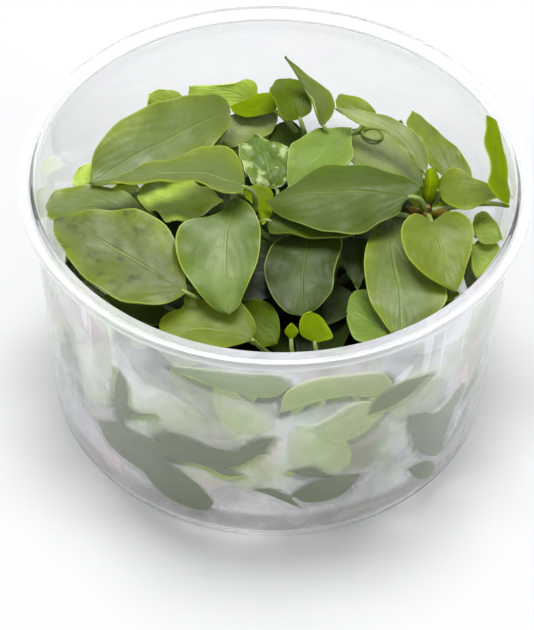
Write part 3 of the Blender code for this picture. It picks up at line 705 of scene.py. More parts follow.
def planform(leaf, rows, columns):
    """Each vertex's distance along and across, how far out it is, and the middle line."""
    left, right = leaf.get("outline") or plain_outline(leaf)
    left, right = smooth_line(left, rows), smooth_line(right, rows)
    middle = left[0] + (left[-1] - left[0]) * eased(rows)[:, None]
    middle = 0.6 * middle + 0.2 * (left + right)
    out = np.linspace(-1.0, 1.0, columns)
    out = np.sign(out) * np.abs(out) ** 0.9
    rim = np.where(out[None, :, None] > 0, left[:, None], right[:, None])
    plan = middle[:, None] + (rim - middle[:, None]) * np.abs(out)[None, :, None]
    return plan, out, middle


print("a blade has", BLADE_ROWS, "by", BLADE_COLUMNS, "vertices")

# %% [markdown]
# A real blade is never flat. A slight fold lifts both halves, the margin ripples, slow
# swells run over it, and a young blade is puckered between its veins. All of these are
# heights above the swept surface. Solidify then gives the sheet its thickness.

# %% Fold, ripple and thicken a blade
BLADE_THICKNESS = 0.30


def shape_of(leaf, plan, out):
    """Points in millimetres for a plan on the swept surface: folded, rippled, puckered."""
    along, across = plan[..., 0], plan[..., 1]
    centre, side, normal, _ = frame_at(leaf, along)
    fold = radians(leaf["fold"])
    seed = leaf.get("seed", 0)
    lift = sin(fold) * (np.sqrt(across ** 2 + 0.6) - 0.77)

    # a rippled margin, then two slow swells over the whole blade
    wave, period = leaf.get("wave", (0.35, 8.0))
    ripple = np.sin(2 * pi * along / period + 1.7 * seed + 1.3 * (out > 0))
    lift = lift + wave * np.abs(out) ** 2.5 * ripple
    lift = lift + 0.28 * np.sin(0.42 * along + seed) * np.cos(0.38 * across + 0.6 * seed)
    lift = lift + 0.07 * np.sin(1.15 * along + 2.0 * seed) * np.cos(0.95 * across + seed)

    # puckers: three slanted sets of creases
    pucker, period = leaf.get("pucker", (0.0, 3.0))
    turn = pi / period
    creases = np.abs(np.sin(turn * (along + 0.7 * across) + seed))
    creases = creases + np.abs(np.sin(turn * (1.2 * across - 0.45 * along) + 2.0 * seed))
    finer = 1.66 * turn * (0.35 * across + along)
    creases = creases + 0.7 * np.abs(np.sin(finer + 3.0 * seed))
    lift = lift + pucker * (creases - 1.7)
    return centre + side * (across * cos(fold))[..., None] + normal * lift[..., None]


def thin_sheet(name, points):
    """A sheet of points in millimetres made a blade, half its thickness to each side."""
    obj = bent_grid(name, points * MM)
    thickness = obj.modifiers.new("thickness", "SOLIDIFY")
    thickness.thickness = BLADE_THICKNESS * MM
    thickness.offset = 0.0
    thickness.use_even_offset = False
    only(obj)
    bpy.ops.object.modifier_apply(modifier="thickness")
    return obj


def blade(name, leaf, rows=BLADE_ROWS, columns=BLADE_COLUMNS):
    """A thin closed blade that follows a leaf's plan."""
    plan, out, _ = planform(leaf, rows, columns)
    return thin_sheet(name, shape_of(leaf, plan, out[None, :]))


print("blades are", BLADE_THICKNESS, "mm thick")

# %% [markdown]
# ## Stalks
#
# A stalk leaves its rhizome's side, rises in one curve to the blade's base and runs on
# under the midrib, thinner and thinner, as the raised rib of a real blade does. A few
# stalks are led by a point of their own, where they would otherwise show.

# %% Run a stalk to its blade
RHIZOME_FOOT = 4.0  # height at which every rhizome starts, in millimetres
RIB = ((4, 0.40), (7, 0.34), (10, 0.27), (13, 0.20), (16, 0.12), (19, 0.05))  # row, radius


def stalk(name, leaf, steps=9):
    """A round stalk from beside its rhizome to the blade, running on under the midrib."""
    rows = 25
    _, _, middle = planform(leaf, rows, 3)
    midrib = shape_of(leaf, middle, np.zeros(rows))
    _, _, normal, along = frame_at(leaf, middle[:, 0])
    base = midrib[0]
    x, y, crown = RHIZOMES[leaf["rhizome"]]
    lean = 0.94 + 0.06 * (leaf["foot"] - RHIZOME_FOOT) / (crown - RHIZOME_FOOT)
    axis = np.array((x * lean, y * lean, leaf["foot"]))
    outward = base - axis
    outward[2] = 0.0
    outward /= np.linalg.norm(outward)
    foot = axis + outward * 1.2
    control = base - along[0] * np.linalg.norm(base - foot) * 0.35
    control = np.array(leaf.get("by", control))
    t = np.linspace(0.0, 1.0, steps + 1)[:, None]
    path_points = list((1 - t) ** 2 * foot + 2 * t * (1 - t) * control + t * t * base)
    path_points += [midrib[row] - normal[row] * radius for row, radius in RIB]
    radii = [*np.linspace(0.75, 0.42, steps + 1), *(radius for _, radius in RIB)]
    return tube(name, np.array(path_points) * MM, np.array(radii) * MM)


print("a stalk thins to", RIB[-1][1], "mm under its blade")

# %% [markdown]
# ## Blades against the wall
#
# Some leaves are pressed to the wall. They are drawn on it: each edge is a line of
# corners, as degrees round the cup and height. The sheet between the edges lies a small
# gap inside the wall.

# %% Lay a sheet along the wall
WALL_FOOT = 44.2  # inner radius of the wall at the cup's base, in millimetres
WALL_SPREAD = 2.5  # how much wider it is at the rim
CUP_HEIGHT = 59.0
ARC = 0.785  # millimetres of wall per degree


def wall_radius(height):
    """Inner radius of the cup's wall at a height, in millimetres."""
    return WALL_FOOT + WALL_SPREAD * height / CUP_HEIGHT


def wall_sheet(gap, first, second, rows=36, columns=13):
    """Points in millimetres of a sheet between two edges, a gap inside the wall."""
    scale = np.array((ARC, 1.0))
    first = smooth_line(np.array(first) * scale, rows)
    second = smooth_line(np.array(second) * scale, rows)
    out = np.linspace(0.0, 1.0, columns)[None, :, None]
    plan = first[:, None] * (1.0 - out) + second[:, None] * out
    angle = np.radians(plan[..., 0] / ARC)
    radius = wall_radius(plan[..., 1]) - gap
    return np.stack([radius * np.cos(angle), radius * np.sin(angle), plan[..., 1]], axis=-1)


WALL_EDGES = {
    "leaf_01": ([(-138, 18.6), (-135, 14.4), (-129.3, 13.0), (-122.4, 12.2), (-119.6, 9.3),
        (-115.9, 7.5), (-111.5, 6.9), (-108.1, 6.8), (-104.7, 7.6), (-103.2, 10.4)], [(-134, 21),
        (-129.4, 23.7), (-125.4, 23.7), (-120.6, 23.9), (-117.8, 24.1), (-115.3, 19), (-112.9, 18),
        (-107.1, 14.8)]),
    "leaf_02": ([(-129.8, 22.5), (-130.8, 29.2), (-129.9, 35), (-128.4, 40.4)], [(-127.4, 28),
        (-126.2, 34.6), (-126.8, 39)]),
    "leaf_03": ([(-119, 21), (-111.9, 21.1), (-107.8, 21.9), (-103.7, 21.9), (-100.6, 22.7),
        (-96.7, 24), (-93.7, 26.3), (-90.7, 29.6), (-88.6, 33.3)], [(-117.8, 24.6), (-115.9, 28),
        (-111.7, 29.1), (-107.6, 29), (-102.9, 27.6), (-99, 27.5), (-95.2, 29.6), (-92.3, 32.6)]),
    "leaf_04": ([(-83.4, 15), (-80.9, 12.7), (-75.2, 11.8), (-70.4, 12.8), (-67.6, 15.5),
        (-66.2, 17.8)], [(-81.1, 17.2), (-77.3, 18.8), (-72.1, 19)]),
    "leaf_05": ([(-40.6, 9.6), (-44, 12), (-48, 15.8), (-52.2, 24.8), (-53.2, 30)], [(-38.7, 14),
        (-36.1, 20), (-35.6, 27.5), (-38.8, 26), (-43.6, 25.2), (-49.5, 28.2)]),
    "leaf_06": ([(-41.5, 9.6), (-35.8, 7.6), (-26.3, 9.3), (-17.6, 17.6)], [(-34.2, 12.6),
        (-27.7, 18.4)]),
    "leaf_08": ([(-59, 42), (-64.6, 41), (-70, 43), (-75.5, 43.6), (-82.9, 42), (-87.4, 40.4)],
        [(-62.4, 46.9), (-72, 49.5), (-80.8, 49.6), (-85.9, 46.5)]),
}
WALL_EDGES = {node: with_ends(*lines) for node, lines in WALL_EDGES.items()}
WALL_GAPS = {"leaf_06": 0.9, "leaf_08": 0.9}
print(len(WALL_EDGES), "leaves lie along the wall")

# %% [markdown]
# ## Every leaf
#
# Blade and stalk become one piece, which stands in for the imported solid. A few leaves have
# extras: deeper puckers, a livelier margin, or a point that their stalk passes by.

# %% Make every leaf
EXTRAS = {
    "leaf_17": {"by": (1.0, -17.0, 22.0)},
    "leaf_20": {"pucker": (0.25, 5.0)},
    "leaf_29": {"pucker": (0.35, 6.0), "wave": (0.6, 5.0)},
    "leaf_35": {"pucker": (0.8, 5.0), "wave": (0.8, 5.0)},
    "leaf_44": {"by": (-18.0, 28.0, 39.0)},
    "leaf_48": {"by": (33.0, 11.5, 39.5)},
    "leaf_49": {"by": (42.0, 11.5, 42.0)},
}


def plan_of(node):
    """A leaf's row of the plan as named fields, with its outline if it has one."""
    return {**dict(zip(FIELDS, LEAVES[node])), "outline": OUTLINES.get(node)}


def coated(obj, material):
    """Give an object its material."""
    obj.data.materials.append(material)
    return obj


leaf_pieces = []
for number, node in enumerate(LEAVES):
    leaf = {**plan_of(node), "seed": number, **EXTRAS.get(node, {})}
    if node in WALL_EDGES:
        points = wall_sheet(WALL_GAPS.get(node, 0.35), *WALL_EDGES[node])
        thin = thin_sheet(node + "_blade", points)
    else:
        thin = blade(node + "_blade", leaf)
    coated(thin, LEAF_FINISHES[leaf["finish"]])
    round_stalk = coated(stalk(node + "_stalk", leaf), STALK_GREEN)
    piece = joined("fresh_" + node, [thin, round_stalk])
    dress(piece, node)
    leaf_pieces.append(piece)
print(len(leaf_pieces), "leaves,", sum(len(p.data.polygons) for p in leaf_pieces), "faces")

# %% [markdown]
# ## The crown, a rolled leaf and a ring
#
# Where the leaves of the right plantlet meet, brown sheaths stand round the crown and a
# young leaf is still rolled up. They are spindles: tubes that swell and taper. A small
# curled ring, a torus laid on a leaf's swept surface, rests nearby.

# %% Model the crown, the rolled leaf and the ring
SHEATH_BROWN = leaf_material(
    "sheath_brown", (0.16, 0.075, 0.012), (0.22, 0.15, 0.012), (0.36, 0.26, 0.05), mottle=0.5
)
LIME = LEAF_FINISHES["lime"]
SHEATHS = (  # heading, length, widest radius, material
    (-150, 5.0, 1.0, SHEATH_BROWN),
    (-100, 4.2, 0.9, SHEATH_BROWN),
    (-40, 5.2, 1.1, SHEATH_BROWN),
    (10, 4.5, 0.8, LIME),
    (70, 3.8, 0.9, SHEATH_BROWN),
)
ROLLED = [(31.0, 11.6, 41.0), (31.7, 13.4, 43.6), (31.4, 15.6, 46.4)]


def spindle(name, path_points, widest, material):
    """A tube that swells to its widest near the middle and tapers to a point."""
    rows = 14
    share = np.linspace(0.0, 1.0, rows)
    swell = np.interp(share, (0.0, 0.3, 0.55, 0.85, 1.0), (0.45, 0.95, 1.0, 0.5, 0.08))
    path_points = smooth_line(path_points, rows) * MM
    return coated(tube(name, path_points, widest * swell * MM, sides=10), material)


x, y, crown = RHIZOMES["right"]
spindles = []
for heading, length, widest, material in SHEATHS:
    out = np.array((cos(radians(heading)), sin(radians(heading)), 0.0))
    start = np.array((x, y, crown - 1.5)) + out * 1.2
    line = [start, start + out * 0.45 * length + (0, 0, 1.6),
            start + out * 0.75 * length + (0, 0, 3.6)]
    spindles.append(spindle("sheath", line, widest, material))
spindles.append(spindle("rolled", ROLLED, 1.7, LIME))
crown_piece = joined("crown_sheaths", spindles)
dress(crown_piece)

under_ring = plan_of("leaf_36")
ALONG, ACROSS = 13.2, -2.2  # where the ring lies on its leaf, in millimetres
spot = shape_of(under_ring, np.array([[ALONG, ACROSS]]), np.zeros(1))[0]
_, side, normal, along = (line[0] for line in frame_at(under_ring, np.array([ALONG])))
bpy.ops.object.select_all(action="DESELECT")
bpy.ops.mesh.primitive_torus_add(
    major_segments=40, minor_segments=8, major_radius=2.0 * MM, minor_radius=0.30 * MM
)
ring = bpy.context.object
ring.name = "curled_ring"
turn = Matrix((Vector(along) * 1.15, Vector(side) * 0.85, Vector(normal))).transposed().to_4x4()
ring.matrix_world = Matrix.Translation(Vector((spot + normal * 0.7) * MM)) @ turn
only(ring)
bpy.ops.object.transform_apply(location=True, rotation=True, scale=True)
dress(coated(ring, LEAF_FINISHES["fresh"]))
print("small things:", crown_piece.name, ring.name)

# %% [markdown]
# ## Leaves lower in the heap
#
# Under the canopy the real cup is packed with more leaves, which close the gaps with deep shade and
# show as pale shapes through the wall. Those away from the wall are a near-black green, so their
# darkness is painted shade as well. They are laid by trial: a leaf is drawn with a seeded random
# plan, and it stays only if it is inside the cup, under the leaves above and clear of all others
# but two.

# %% Plan the lower heap
LOWER_LEAVES = 130
LOWER_TRIES = 9000
LOWEST = 9.0  # just above the gel, in millimetres
ROUGH = (10, 5)  # rows and columns of a coarse sheet, enough to test for touching


def tree_of(points):
    """A search tree of a sheet of points."""
    rows, columns = points.shape[:2]
    faces = []
    for row in range(rows - 1):
        for column in range(columns - 1):
            low = row * columns + column
            faces.append((low, low + 1, low + columns + 1, low + columns))
    return BVHTree.FromPolygons([Vector(point) for point in points.reshape(-1, 3)], faces)


def sheet_of(leaf, rows, columns):
    """A leaf's blade as a coarse sheet of points, in millimetres."""
    plan, out, _ = planform(leaf, rows, columns)
    return shape_of(leaf, plan, out[None, :])


def random_plan(rhizome):
    """A plan drawn at random for a small leaf of one rhizome."""
    x, y, crown = RHIZOMES[rhizome]
    heading = rng.uniform(-180.0, 180.0)
    start = rng.uniform(3.0, 11.0)
    height = rng.uniform(12.0, crown + 3.0)
    foot = height - rng.uniform(3.0, 8.0)
    x += start * cos(radians(heading))
    y += start * sin(radians(heading))
    ranges = (  # turn of heading, pitch, bend, roll, length, width, fold, curve
        (-35.0, 35.0), (-10.0, 35.0), (-50.0, -10.0), (-25.0, 25.0),
        (12.0, 22.0), (9.0, 14.0), (4.0, 12.0), (-25.0, 25.0),
    )
    turn, *rest = [rng.uniform(*limits) for limits in ranges]
    # the lower leaves take the near-black finish, painted shade
    return dict(zip(FIELDS, (rhizome, foot, x, y, height, heading + turn, *rest, "shade")))


def fits_inside(leaf, points):
    """Whether a leaf stays inside the wall, above the gel and under the canopy."""
    radius = np.hypot(points[..., 0], points[..., 1])
    height = points[..., 2]
    if (radius > wall_radius(height) - 0.8).any() or height.min() < LOWEST:
        return False
    canopy = 40.0 - 0.18 * max(0.0, points[..., 1].max())
    return height.max() <= canopy and leaf["foot"] >= 8.0


def open_above(points, trees):
    """How many of a sheet's points see the sky between the leaves."""
    up = Vector((0, 0, 1))
    return sum(
        not any(tree.ray_cast(Vector(point), up)[0] for tree in trees)
        for point in points[::3, ::2].reshape(-1, 3)
    )


placed = [tree_of(sheet_of(plan_of(node), 14, 9)) for node in LEAVES]
rng = np.random.default_rng(11)
names = list(RHIZOMES)
lower = []
tries = 0
while len(lower) < LOWER_LEAVES and tries < LOWER_TRIES:
    tries += 1
    leaf = random_plan(names[rng.integers(len(names))])
    points = sheet_of(leaf, *ROUGH)
    if not fits_inside(leaf, points):
        continue
    if np.hypot(points[..., 0], points[..., 1]).max() > 38.0:
        leaf["finish"] = "moss"
    tree = tree_of(points)
    if any(tree.overlap(other) for other in placed[:len(LEAVES)]):
        continue
    if sum(bool(tree.overlap(other)) for other in placed[len(LEAVES):]) > 2:
        continue
    if points[..., 2].max() > 33.0 and open_above(points, placed) > 3:
        continue
    placed.append(tree)
    lower.append(leaf)
print(len(lower), "lower leaves after", tries, "tries")

# %% [markdown]
# Round the wall stand more blades, a millimetre or three inside it. Through the hazy
# plastic they show as soft green shapes. Ten have measured edges. The others are ovals
# laid on the wall's surface, again by trial.

# %% Plan the leaves along the wall
WALL_TOUCHES = [  # finish, gap inside the wall, edges
    ("fresh", 0.9, [(-112.7, 49.2), (-106.8, 47.2), (-97.9, 45.5), (-88, 45.6), (-85, 48.5)],
     [(-102.9, 51.2), (-94.3, 51.7), (-87.2, 51.4)]),
    ("moss", 0.7, [(-65.5, 36), (-61.2, 35.8), (-53.8, 37), (-48.4, 40.2)], [(-63.9, 40.2),
     (-58.4, 42.4)]),
    ("light", 1.0, [(-79.5, 35.6), (-71.8, 29.3), (-65, 30.8), (-61.5, 35)], [(-75.1, 37.4),
     (-70, 40.2), (-64.4, 39)]),
    ("under", 0.4, [(-51.2, 12.2), (-47.4, 6.8), (-41.8, 4.1), (-40.2, 5.6)], [(-46.2, 11.3),
     (-42, 8.6)]),
    ("under", 0.4, [(-92.8, 16.4), (-89.4, 15.2), (-85.7, 13.2), (-81, 10.4)], [(-89, 17),
     (-85, 14.8)]),
    ("under", 0.5, [(-84.2, 22.6), (-79.3, 20), (-75, 20.2)], [(-79.5, 23.2)]),
    ("under", 0.5, [(-128.6, 27), (-124.9, 28.8), (-118, 32.6)], [(-126.4, 31.2), (-124.7, 30.6)]),
    ("slate", 0.8, [(-160, 22), (-152, 24.8), (-147.5, 32.2)], [(-156.5, 28.6)]),
    ("under", 0.7, [(-34, 21), (-24.8, 23.4), (-21.4, 29.6)], [(-28.5, 25.4)]),
    ("under", 0.7, [(-106, 22), (-99, 19.7), (-95.6, 20.9)], [(-100.6, 22)]),
]
STANDING_LEAVES = 64
STANDING_TRIES = 2500
STANDING_LOOKS = ("fresh", "light", "olive", "ash", "moss", "light")


def wall_oval(azimuth, height, length, width, turn):
    """Two edges, in degrees and millimetres, of a pointed oval on the wall."""
    share = np.linspace(0.0, 1.0, 9)
    half = 0.5 * width * np.sin(pi * share ** 0.8) ** 0.75
    half[0] = half[-1] = 0.0
    along = (share - 0.5) * length
    edges = []
    for across in (-1.0 * half, 1.0 * half):
        degrees = azimuth + (along * cos(turn) - across * sin(turn)) / ARC
        edges.append(list(zip(degrees, height + along * sin(turn) + across * cos(turn))))
    return edges


def stands_well(azimuth, edges):
    """Whether an oval stays between gel and rim, and low where the camera sees inside."""
    heights = [height for edge in edges for _, height in edge]
    if not 9.5 < min(heights) < max(heights) < 48.0:
        return False
    return -155.0 <= azimuth <= -25.0 or max(heights) <= 31.0


standing = []
for look, gap, first, second in WALL_TOUCHES:
    edges = with_ends(first, second)
    standing.append((first[0][0], gap, edges, look))
    placed.append(tree_of(wall_sheet(gap, *edges, 9, 5)))
tries = 0
while len(standing) < STANDING_LEAVES and tries < STANDING_TRIES:
    tries += 1
    azimuth = rng.uniform(-180.0, 180.0)
    height = rng.uniform(14.0, 42.0)
    turn = radians(rng.uniform(20.0, 160.0))
    gap = rng.uniform(1.05, 3.0)
    edges = wall_oval(azimuth, height, rng.uniform(15.0, 24.0), rng.uniform(8.0, 12.0), turn)
    if not stands_well(azimuth, edges):
        continue
    tree = tree_of(wall_sheet(gap, *edges, 9, 5))
    if any(tree.overlap(other) for other in placed):
        continue
    placed.append(tree)
    look = STANDING_LOOKS[len(standing) % len(STANDING_LOOKS)]
    standing.append((azimuth, gap, edges, look))
print(len(standing), "standing leaves after", tries, "tries")

# %% [markdown]
# Now both kinds become meshes. The standing leaves are joined by the side of the cup that
# they stand on, and the lower ones by rhizome, so that the object has few pieces.

# %% Make the standing and the lower leaves
SIDES = ("right", "back", "left", "front")


def stem_to(name, base):
    """A thin stem in millimetres from the nearest rhizome to a standing leaf's base."""
    low = base[2]
    rhizome = min(RHIZOMES.values(), key=lambda at: (at[0] - base[0]) ** 2 + (at[1] - base[1]) ** 2)
    x, y, crown = rhizome
    foot = np.array((x * 0.96, y * 0.96, min(crown - 2.0, max(8.5, low - 6.0))))
    bend = 0.5 * (foot + base) + (0.0, 0.0, -2.0)
    t = np.linspace(0.0, 1.0, 8)[:, None]
    line = (1 - t) ** 2 * foot + 2 * t * (1 - t) * bend + t * t * base
    return tube(name, line * MM, np.linspace(0.7, 0.4, 8) * MM, sides=6)


groups = {}
for number, (azimuth, gap, edges, look) in enumerate(standing):
    thin = thin_sheet(f"standing_{number}", wall_sheet(gap, *edges, 16, 7))
    degrees, low = edges[0][0]
    angle, radius = radians(degrees), wall_radius(low) - gap
    base = np.array((radius * cos(angle), radius * sin(angle), low))
    stem = stem_to(f"standing_stem_{number}", base)
    side_name = SIDES[int(((azimuth + 45.0) % 360.0) // 90.0)]
    members = groups.setdefault("wall_leaves_" + side_name, [])
    members += [coated(thin, LEAF_FINISHES[look]), coated(stem, STALK_GREEN)]
for number, leaf in enumerate(lower):
    leaf["seed"] = 60 + number
    thin = blade(f"lower_{number}", leaf, rows=16, columns=9)
    round_stalk = stalk(f"lower_stalk_{number}", leaf, steps=5)
    members = groups.setdefault("lower_leaves_" + leaf["rhizome"], [])
    members += [coated(thin, LEAF_FINISHES[leaf["finish"]]), coated(round_stalk, STALK_GREEN)]
for name, members in groups.items():
    piece = joined(name, members)
    dress(piece)
    leaf_pieces.append(piece)
print("joined:", ", ".join(groups))

# %% [markdown]
# ## Rhizomes and roots
#
# Each plantlet has a short thick rhizome, ringed where old leaves stood, and a few pale
# roots that wander through the gel. A rhizome is a tube whose radius swells between the
# rings, and the roots are thin tubes along seeded random walks.

# %% The rhizomes' and roots' finishes
recipe, place, colour = blotched("rhizome_rind", 300.0, (0.20, 0.11, 0.03), (0.17, 0.20, 0.045))
height = recipe.add("ShaderNodeSeparateXYZ", {"Vector": place}, "Z")
rings = recipe.math("PINGPONG", recipe.math("MULTIPLY", height, 450.0), 0.5)
colour = recipe.mix(recipe.stretch(rings, 0.12, 0.0, 0.0, 0.7), colour, (0.07, 0.04, 0.015))
grain = recipe.noise(place, 900.0, 3.0)
bump = recipe.add("ShaderNodeBump", {"Distance": 0.0003, "Height": grain})
skin = recipe.add(
    "ShaderNodeBsdfPrincipled", {"Base Color": colour, "Roughness": 0.6, "Normal": bump}
)
RHIZOME_RIND = recipe.surface(skin)

recipe, place, colour = blotched("root_cream", 180.0, (0.62, 0.56, 0.40), (0.74, 0.72, 0.60))
skin = recipe.add("ShaderNodeBsdfPrincipled", {"Base Color": colour, "Roughness": 0.5})
ROOT_CREAM = recipe.surface(skin)
print("finishes:", RHIZOME_RIND.name, ROOT_CREAM.name)

# %% [markdown]
# The walks come after the lower leaves, because both draw from the same seeded series.

# %% Model the rhizomes and roots
RHIZOME_RADIUS = 1.62
ROOTS_EACH = 6
ROOT_STEPS = 16
ROOT_STEP = 1.5
ROOT_REACH = 42.0  # roots turn back this far from the cup's axis, in millimetres


def random_root(x, y):
    """A closed tube along a seeded random walk through the gel."""
    heading = rng.uniform(0.0, 2 * pi)
    spot = np.array((x * 0.95, y * 0.95, rng.uniform(5.0, 13.0)))
    walk = [spot.copy()]
    for _ in range(ROOT_STEPS):
        heading += rng.uniform(-0.45, 0.45)
        spot = spot + (ROOT_STEP * cos(heading), ROOT_STEP * sin(heading), 0.0)
        spot[2] += 0.35 * (rng.uniform(3.0, 6.5) - spot[2])
        reach = np.hypot(spot[0], spot[1])
        if reach > ROOT_REACH:
            spot[:2] *= ROOT_REACH / reach
            heading += 0.8
        walk.append(spot.copy())
    return tube("root", np.array(walk) * MM, np.linspace(0.42, 0.16, len(walk)) * MM, sides=6)


root_tubes = []
for rhizome, (x, y, crown) in RHIZOMES.items():
    heights = np.linspace(RHIZOME_FOOT, crown, 40)
    share = (heights - RHIZOME_FOOT) / (crown - RHIZOME_FOOT)
    lean = 0.94 + 0.06 * share
    rings = 1.0 + 0.06 * np.cos(2 * pi * heights / 2.2)
    radii = np.interp(share, (0.0, 0.25, 0.6, 0.92, 1.0), (0.9, 1.0, 0.95, 0.85, 0.35))
    radii = RHIZOME_RADIUS * radii * rings
    path_points = np.stack([x * lean, y * lean, heights], axis=1)
    piece = tube("fresh_rhizome_" + rhizome, path_points * MM, radii * MM, sides=16)
    dress(coated(piece, RHIZOME_RIND), "rhizome_" + rhizome)
    root_tubes += [random_root(x, y) for _ in range(ROOTS_EACH)]
roots = coated(joined("roots", root_tubes), ROOT_CREAM)
dress(roots)
print("roots:", len(roots.data.polygons), "faces")

# %% [markdown]
# ## Clear stuff
#
# Both clear pieces are plain transmission with a refractive index of their own, and a
# share of cloud, which is half matt and half translucent. Shadow and diffuse rays pass
# straight through, so light gets in without slow caustics.

# %% A recipe for clear, cloudy stuff
def clear_surface(recipe, tint, ior, roughness, cloud, cloud_colour, bump=None):
    """Finish a recipe as clear stuff with a share of cloud; returns the material."""
    glass = recipe.add("ShaderNodeBsdfPrincipled", {
        "Base Color": tint, "Transmission Weight": 1.0, "IOR": ior, "Roughness": roughness,
    })
    if bump:
        recipe.feed(glass.node.inputs["Normal"], bump)
    front = recipe.add("ShaderNodeBsdfDiffuse", {"Color": cloud_colour})
    behind = recipe.add("ShaderNodeBsdfTranslucent", {"Color": cloud_colour})
    inner = recipe.blend(cloud, glass, recipe.blend(0.5, front, behind))
    shadow = recipe.add("ShaderNodeLightPath", out="Is Shadow Ray")
    diffuse = recipe.add("ShaderNodeLightPath", out="Is Diffuse Ray")
    clear = recipe.add("ShaderNodeBsdfTransparent", {"Color": tint})
    return recipe.surface(recipe.blend(recipe.math("MAXIMUM", shadow, diffuse), inner, clear))


print("clear recipe ready")

# %% [markdown]
# ## The gel
#
# Agar gel is a soft, slightly cloudy jelly. Its surface is lumpy and creeps up the wall
# a little. It is a turned sheet with a rippled top, in a clear material that blurs what
# lies behind it and holds a trace of white.

# %% Model the gel
GEL_SIDES = 160
GEL_TOP = 7.7
GEL_REACH = 44.3


def turned(name, profile, sides):
    """A closed body from an open profile of (radius, height) in mm, from axis to axis."""
    angles = 2.0 * pi * (np.arange(sides + 1) % sides) / sides
    radius, height = np.array(profile).T * MM
    points = [np.outer(radius, np.cos(angles)), np.outer(radius, np.sin(angles)),
              np.outer(height, np.ones(sides + 1))]
    obj = bent_grid(name, np.stack(points, axis=-1))
    close_and_orient(obj)
    return obj


def round_corner(radius, height, size, start, end, steps):
    """Points on an arc of a profile round (radius, height), angles in degrees."""
    angles = np.radians(np.linspace(start, end, steps + 1))
    return [(radius + size * cos(a), height + size * sin(a)) for a in angles]


profile = [(0.0, 1.5)]
profile += round_corner(44.0 - 2.2, 3.7, 2.2, -90, 0, 8)
profile += [(44.2, 7.0), (44.25, 8.5), (43.9, 8.55), (43.2, 8.0)]
profile += [(radius, GEL_TOP) for radius in np.linspace(42.0, 0.0, 60)]
gel = turned("soft_gel", profile, GEL_SIDES)
for vertex in gel.data.vertices:
    x, y, z = vertex.co / MM
    if z > GEL_TOP - 0.1:
        lumps = sin(0.55 * x + 1.0) * cos(0.48 * y) + 0.6 * sin(0.9 * y + 0.7 * x)
        lumps += 0.35 * sin(2.1 * x - 1.3 * y)
        inwards = min(1.0, (GEL_REACH - (x * x + y * y) ** 0.5) / 4.0)
        vertex.co.z += 0.42 * lumps * inwards * MM

recipe = Recipe(bpy.data.materials.new("agar_jelly"))
place = recipe.add("ShaderNodeTexCoord", out="Object")
lumpy = recipe.noise(place, 260.0, 3.0)
bump = recipe.add("ShaderNodeBump", {"Strength": 0.6, "Distance": 0.0006, "Height": lumpy})
cloudy = recipe.stretch(recipe.noise(place, 120.0, 3.0), 0.35, 0.7, 0.14, 0.52)
jelly = clear_surface(recipe, (0.96, 0.95, 0.945), 1.34, 0.16, cloudy, (0.84, 0.80, 0.81), bump)
dress(coated(gel, jelly), "agar_gel")
print("gel:", len(gel.data.polygons), "faces")

# %% [markdown]
# ## The cup
#
# The cup is moulded in one piece of clear plastic with a flat flange at its rim. It is
# turned from its profile: up the outside, round the flange, and down the inside, with
# many rows there, because the haze is drawn on them.

# %% Turn the cup
CUP_SIDES = 256
WALL = 0.8  # the wall's thickness, in millimetres

profile = [(0.0, 0.0), (10.0, 0.0), (25.0, 0.0), (38.0, 0.0)]
profile += round_corner(42.0, 3.0, 3.0, -90, 0, 10)
profile += [(wall_radius(z) + WALL, z) for z in np.linspace(6.0, 55.5, 20)]
profile += [(47.5, 56.6), (47.62, 56.85), (47.9, 56.95), (48.6, 56.95), (49.2, 56.92)]
profile += round_corner(49.4, 57.5, 0.6, -90, 0, 5)
profile += [(50.0, 57.8), (50.0, 58.1)]
profile += round_corner(49.35, 58.35, 0.65, 0, 90, 6)
profile += [(48.9, 58.98), (48.4, 58.93), (47.9, 58.93), (47.5, 58.98), (47.2, 59.0)]
profile += round_corner(47.15, 58.55, 0.45, 90, 180, 5)
profile += [(wall_radius(z), z) for z in np.linspace(57.8, 4.0, 110)]
profile += round_corner(wall_radius(1.2) - 2.2, 3.4, 2.2, 0, -90, 8)
profile += [(38.0, 1.2), (25.0, 1.2), (10.0, 1.2), (0.0, 1.2)]
cup = turned("clear_cup", profile, CUP_SIDES)
print("cup:", len(cup.data.polygons), "faces")

# %% [markdown]
# The inside of the cup is hazed, which turns its wall milky. Where a leaf touches the wall there is
# no haze, so the leaf shows crisp and dark. So each inner vertex keeps an attribute for the haze,
# from its distance to the nearest leaf. There is less haze on the gel and high up towards the back,
# and more at the sides, where the extra veil is painted reflection. Two more attributes paint light
# on the flange: a grey outer face, which is painted reflection, and the paler lines under it and
# inside the mouth, which are painted highlights.

# %% Measure the haze
FAR = 6.0  # beyond this distance, in millimetres, the haze is full


def ramp(value, low, high):
    """How far a value is from low to high, clamped to 0 and 1."""
    return min(1.0, max(0.0, (value - low) / (high - low)))


def haze_and_side_reflection_at(x, y, height, gap):
    """The share of haze at a place on the wall, a gap away from the nearest leaf, with painted
    reflection added at the sides.
    """
    amount = 0.25 + 0.75 * ramp(height, 7.0, 10.0)
    # more at the sides: painted reflection, the paler look of a wall seen at a glancing angle
    amount *= 1.0 + 0.55 * ramp(abs(x), 20.0, 40.0)
    amount *= 1.0 - 0.92 * ramp(y, -30.0, -8.0) * ramp(height, 28.0, 34.0)
    return amount * ramp(gap, 0.55, 1.45)


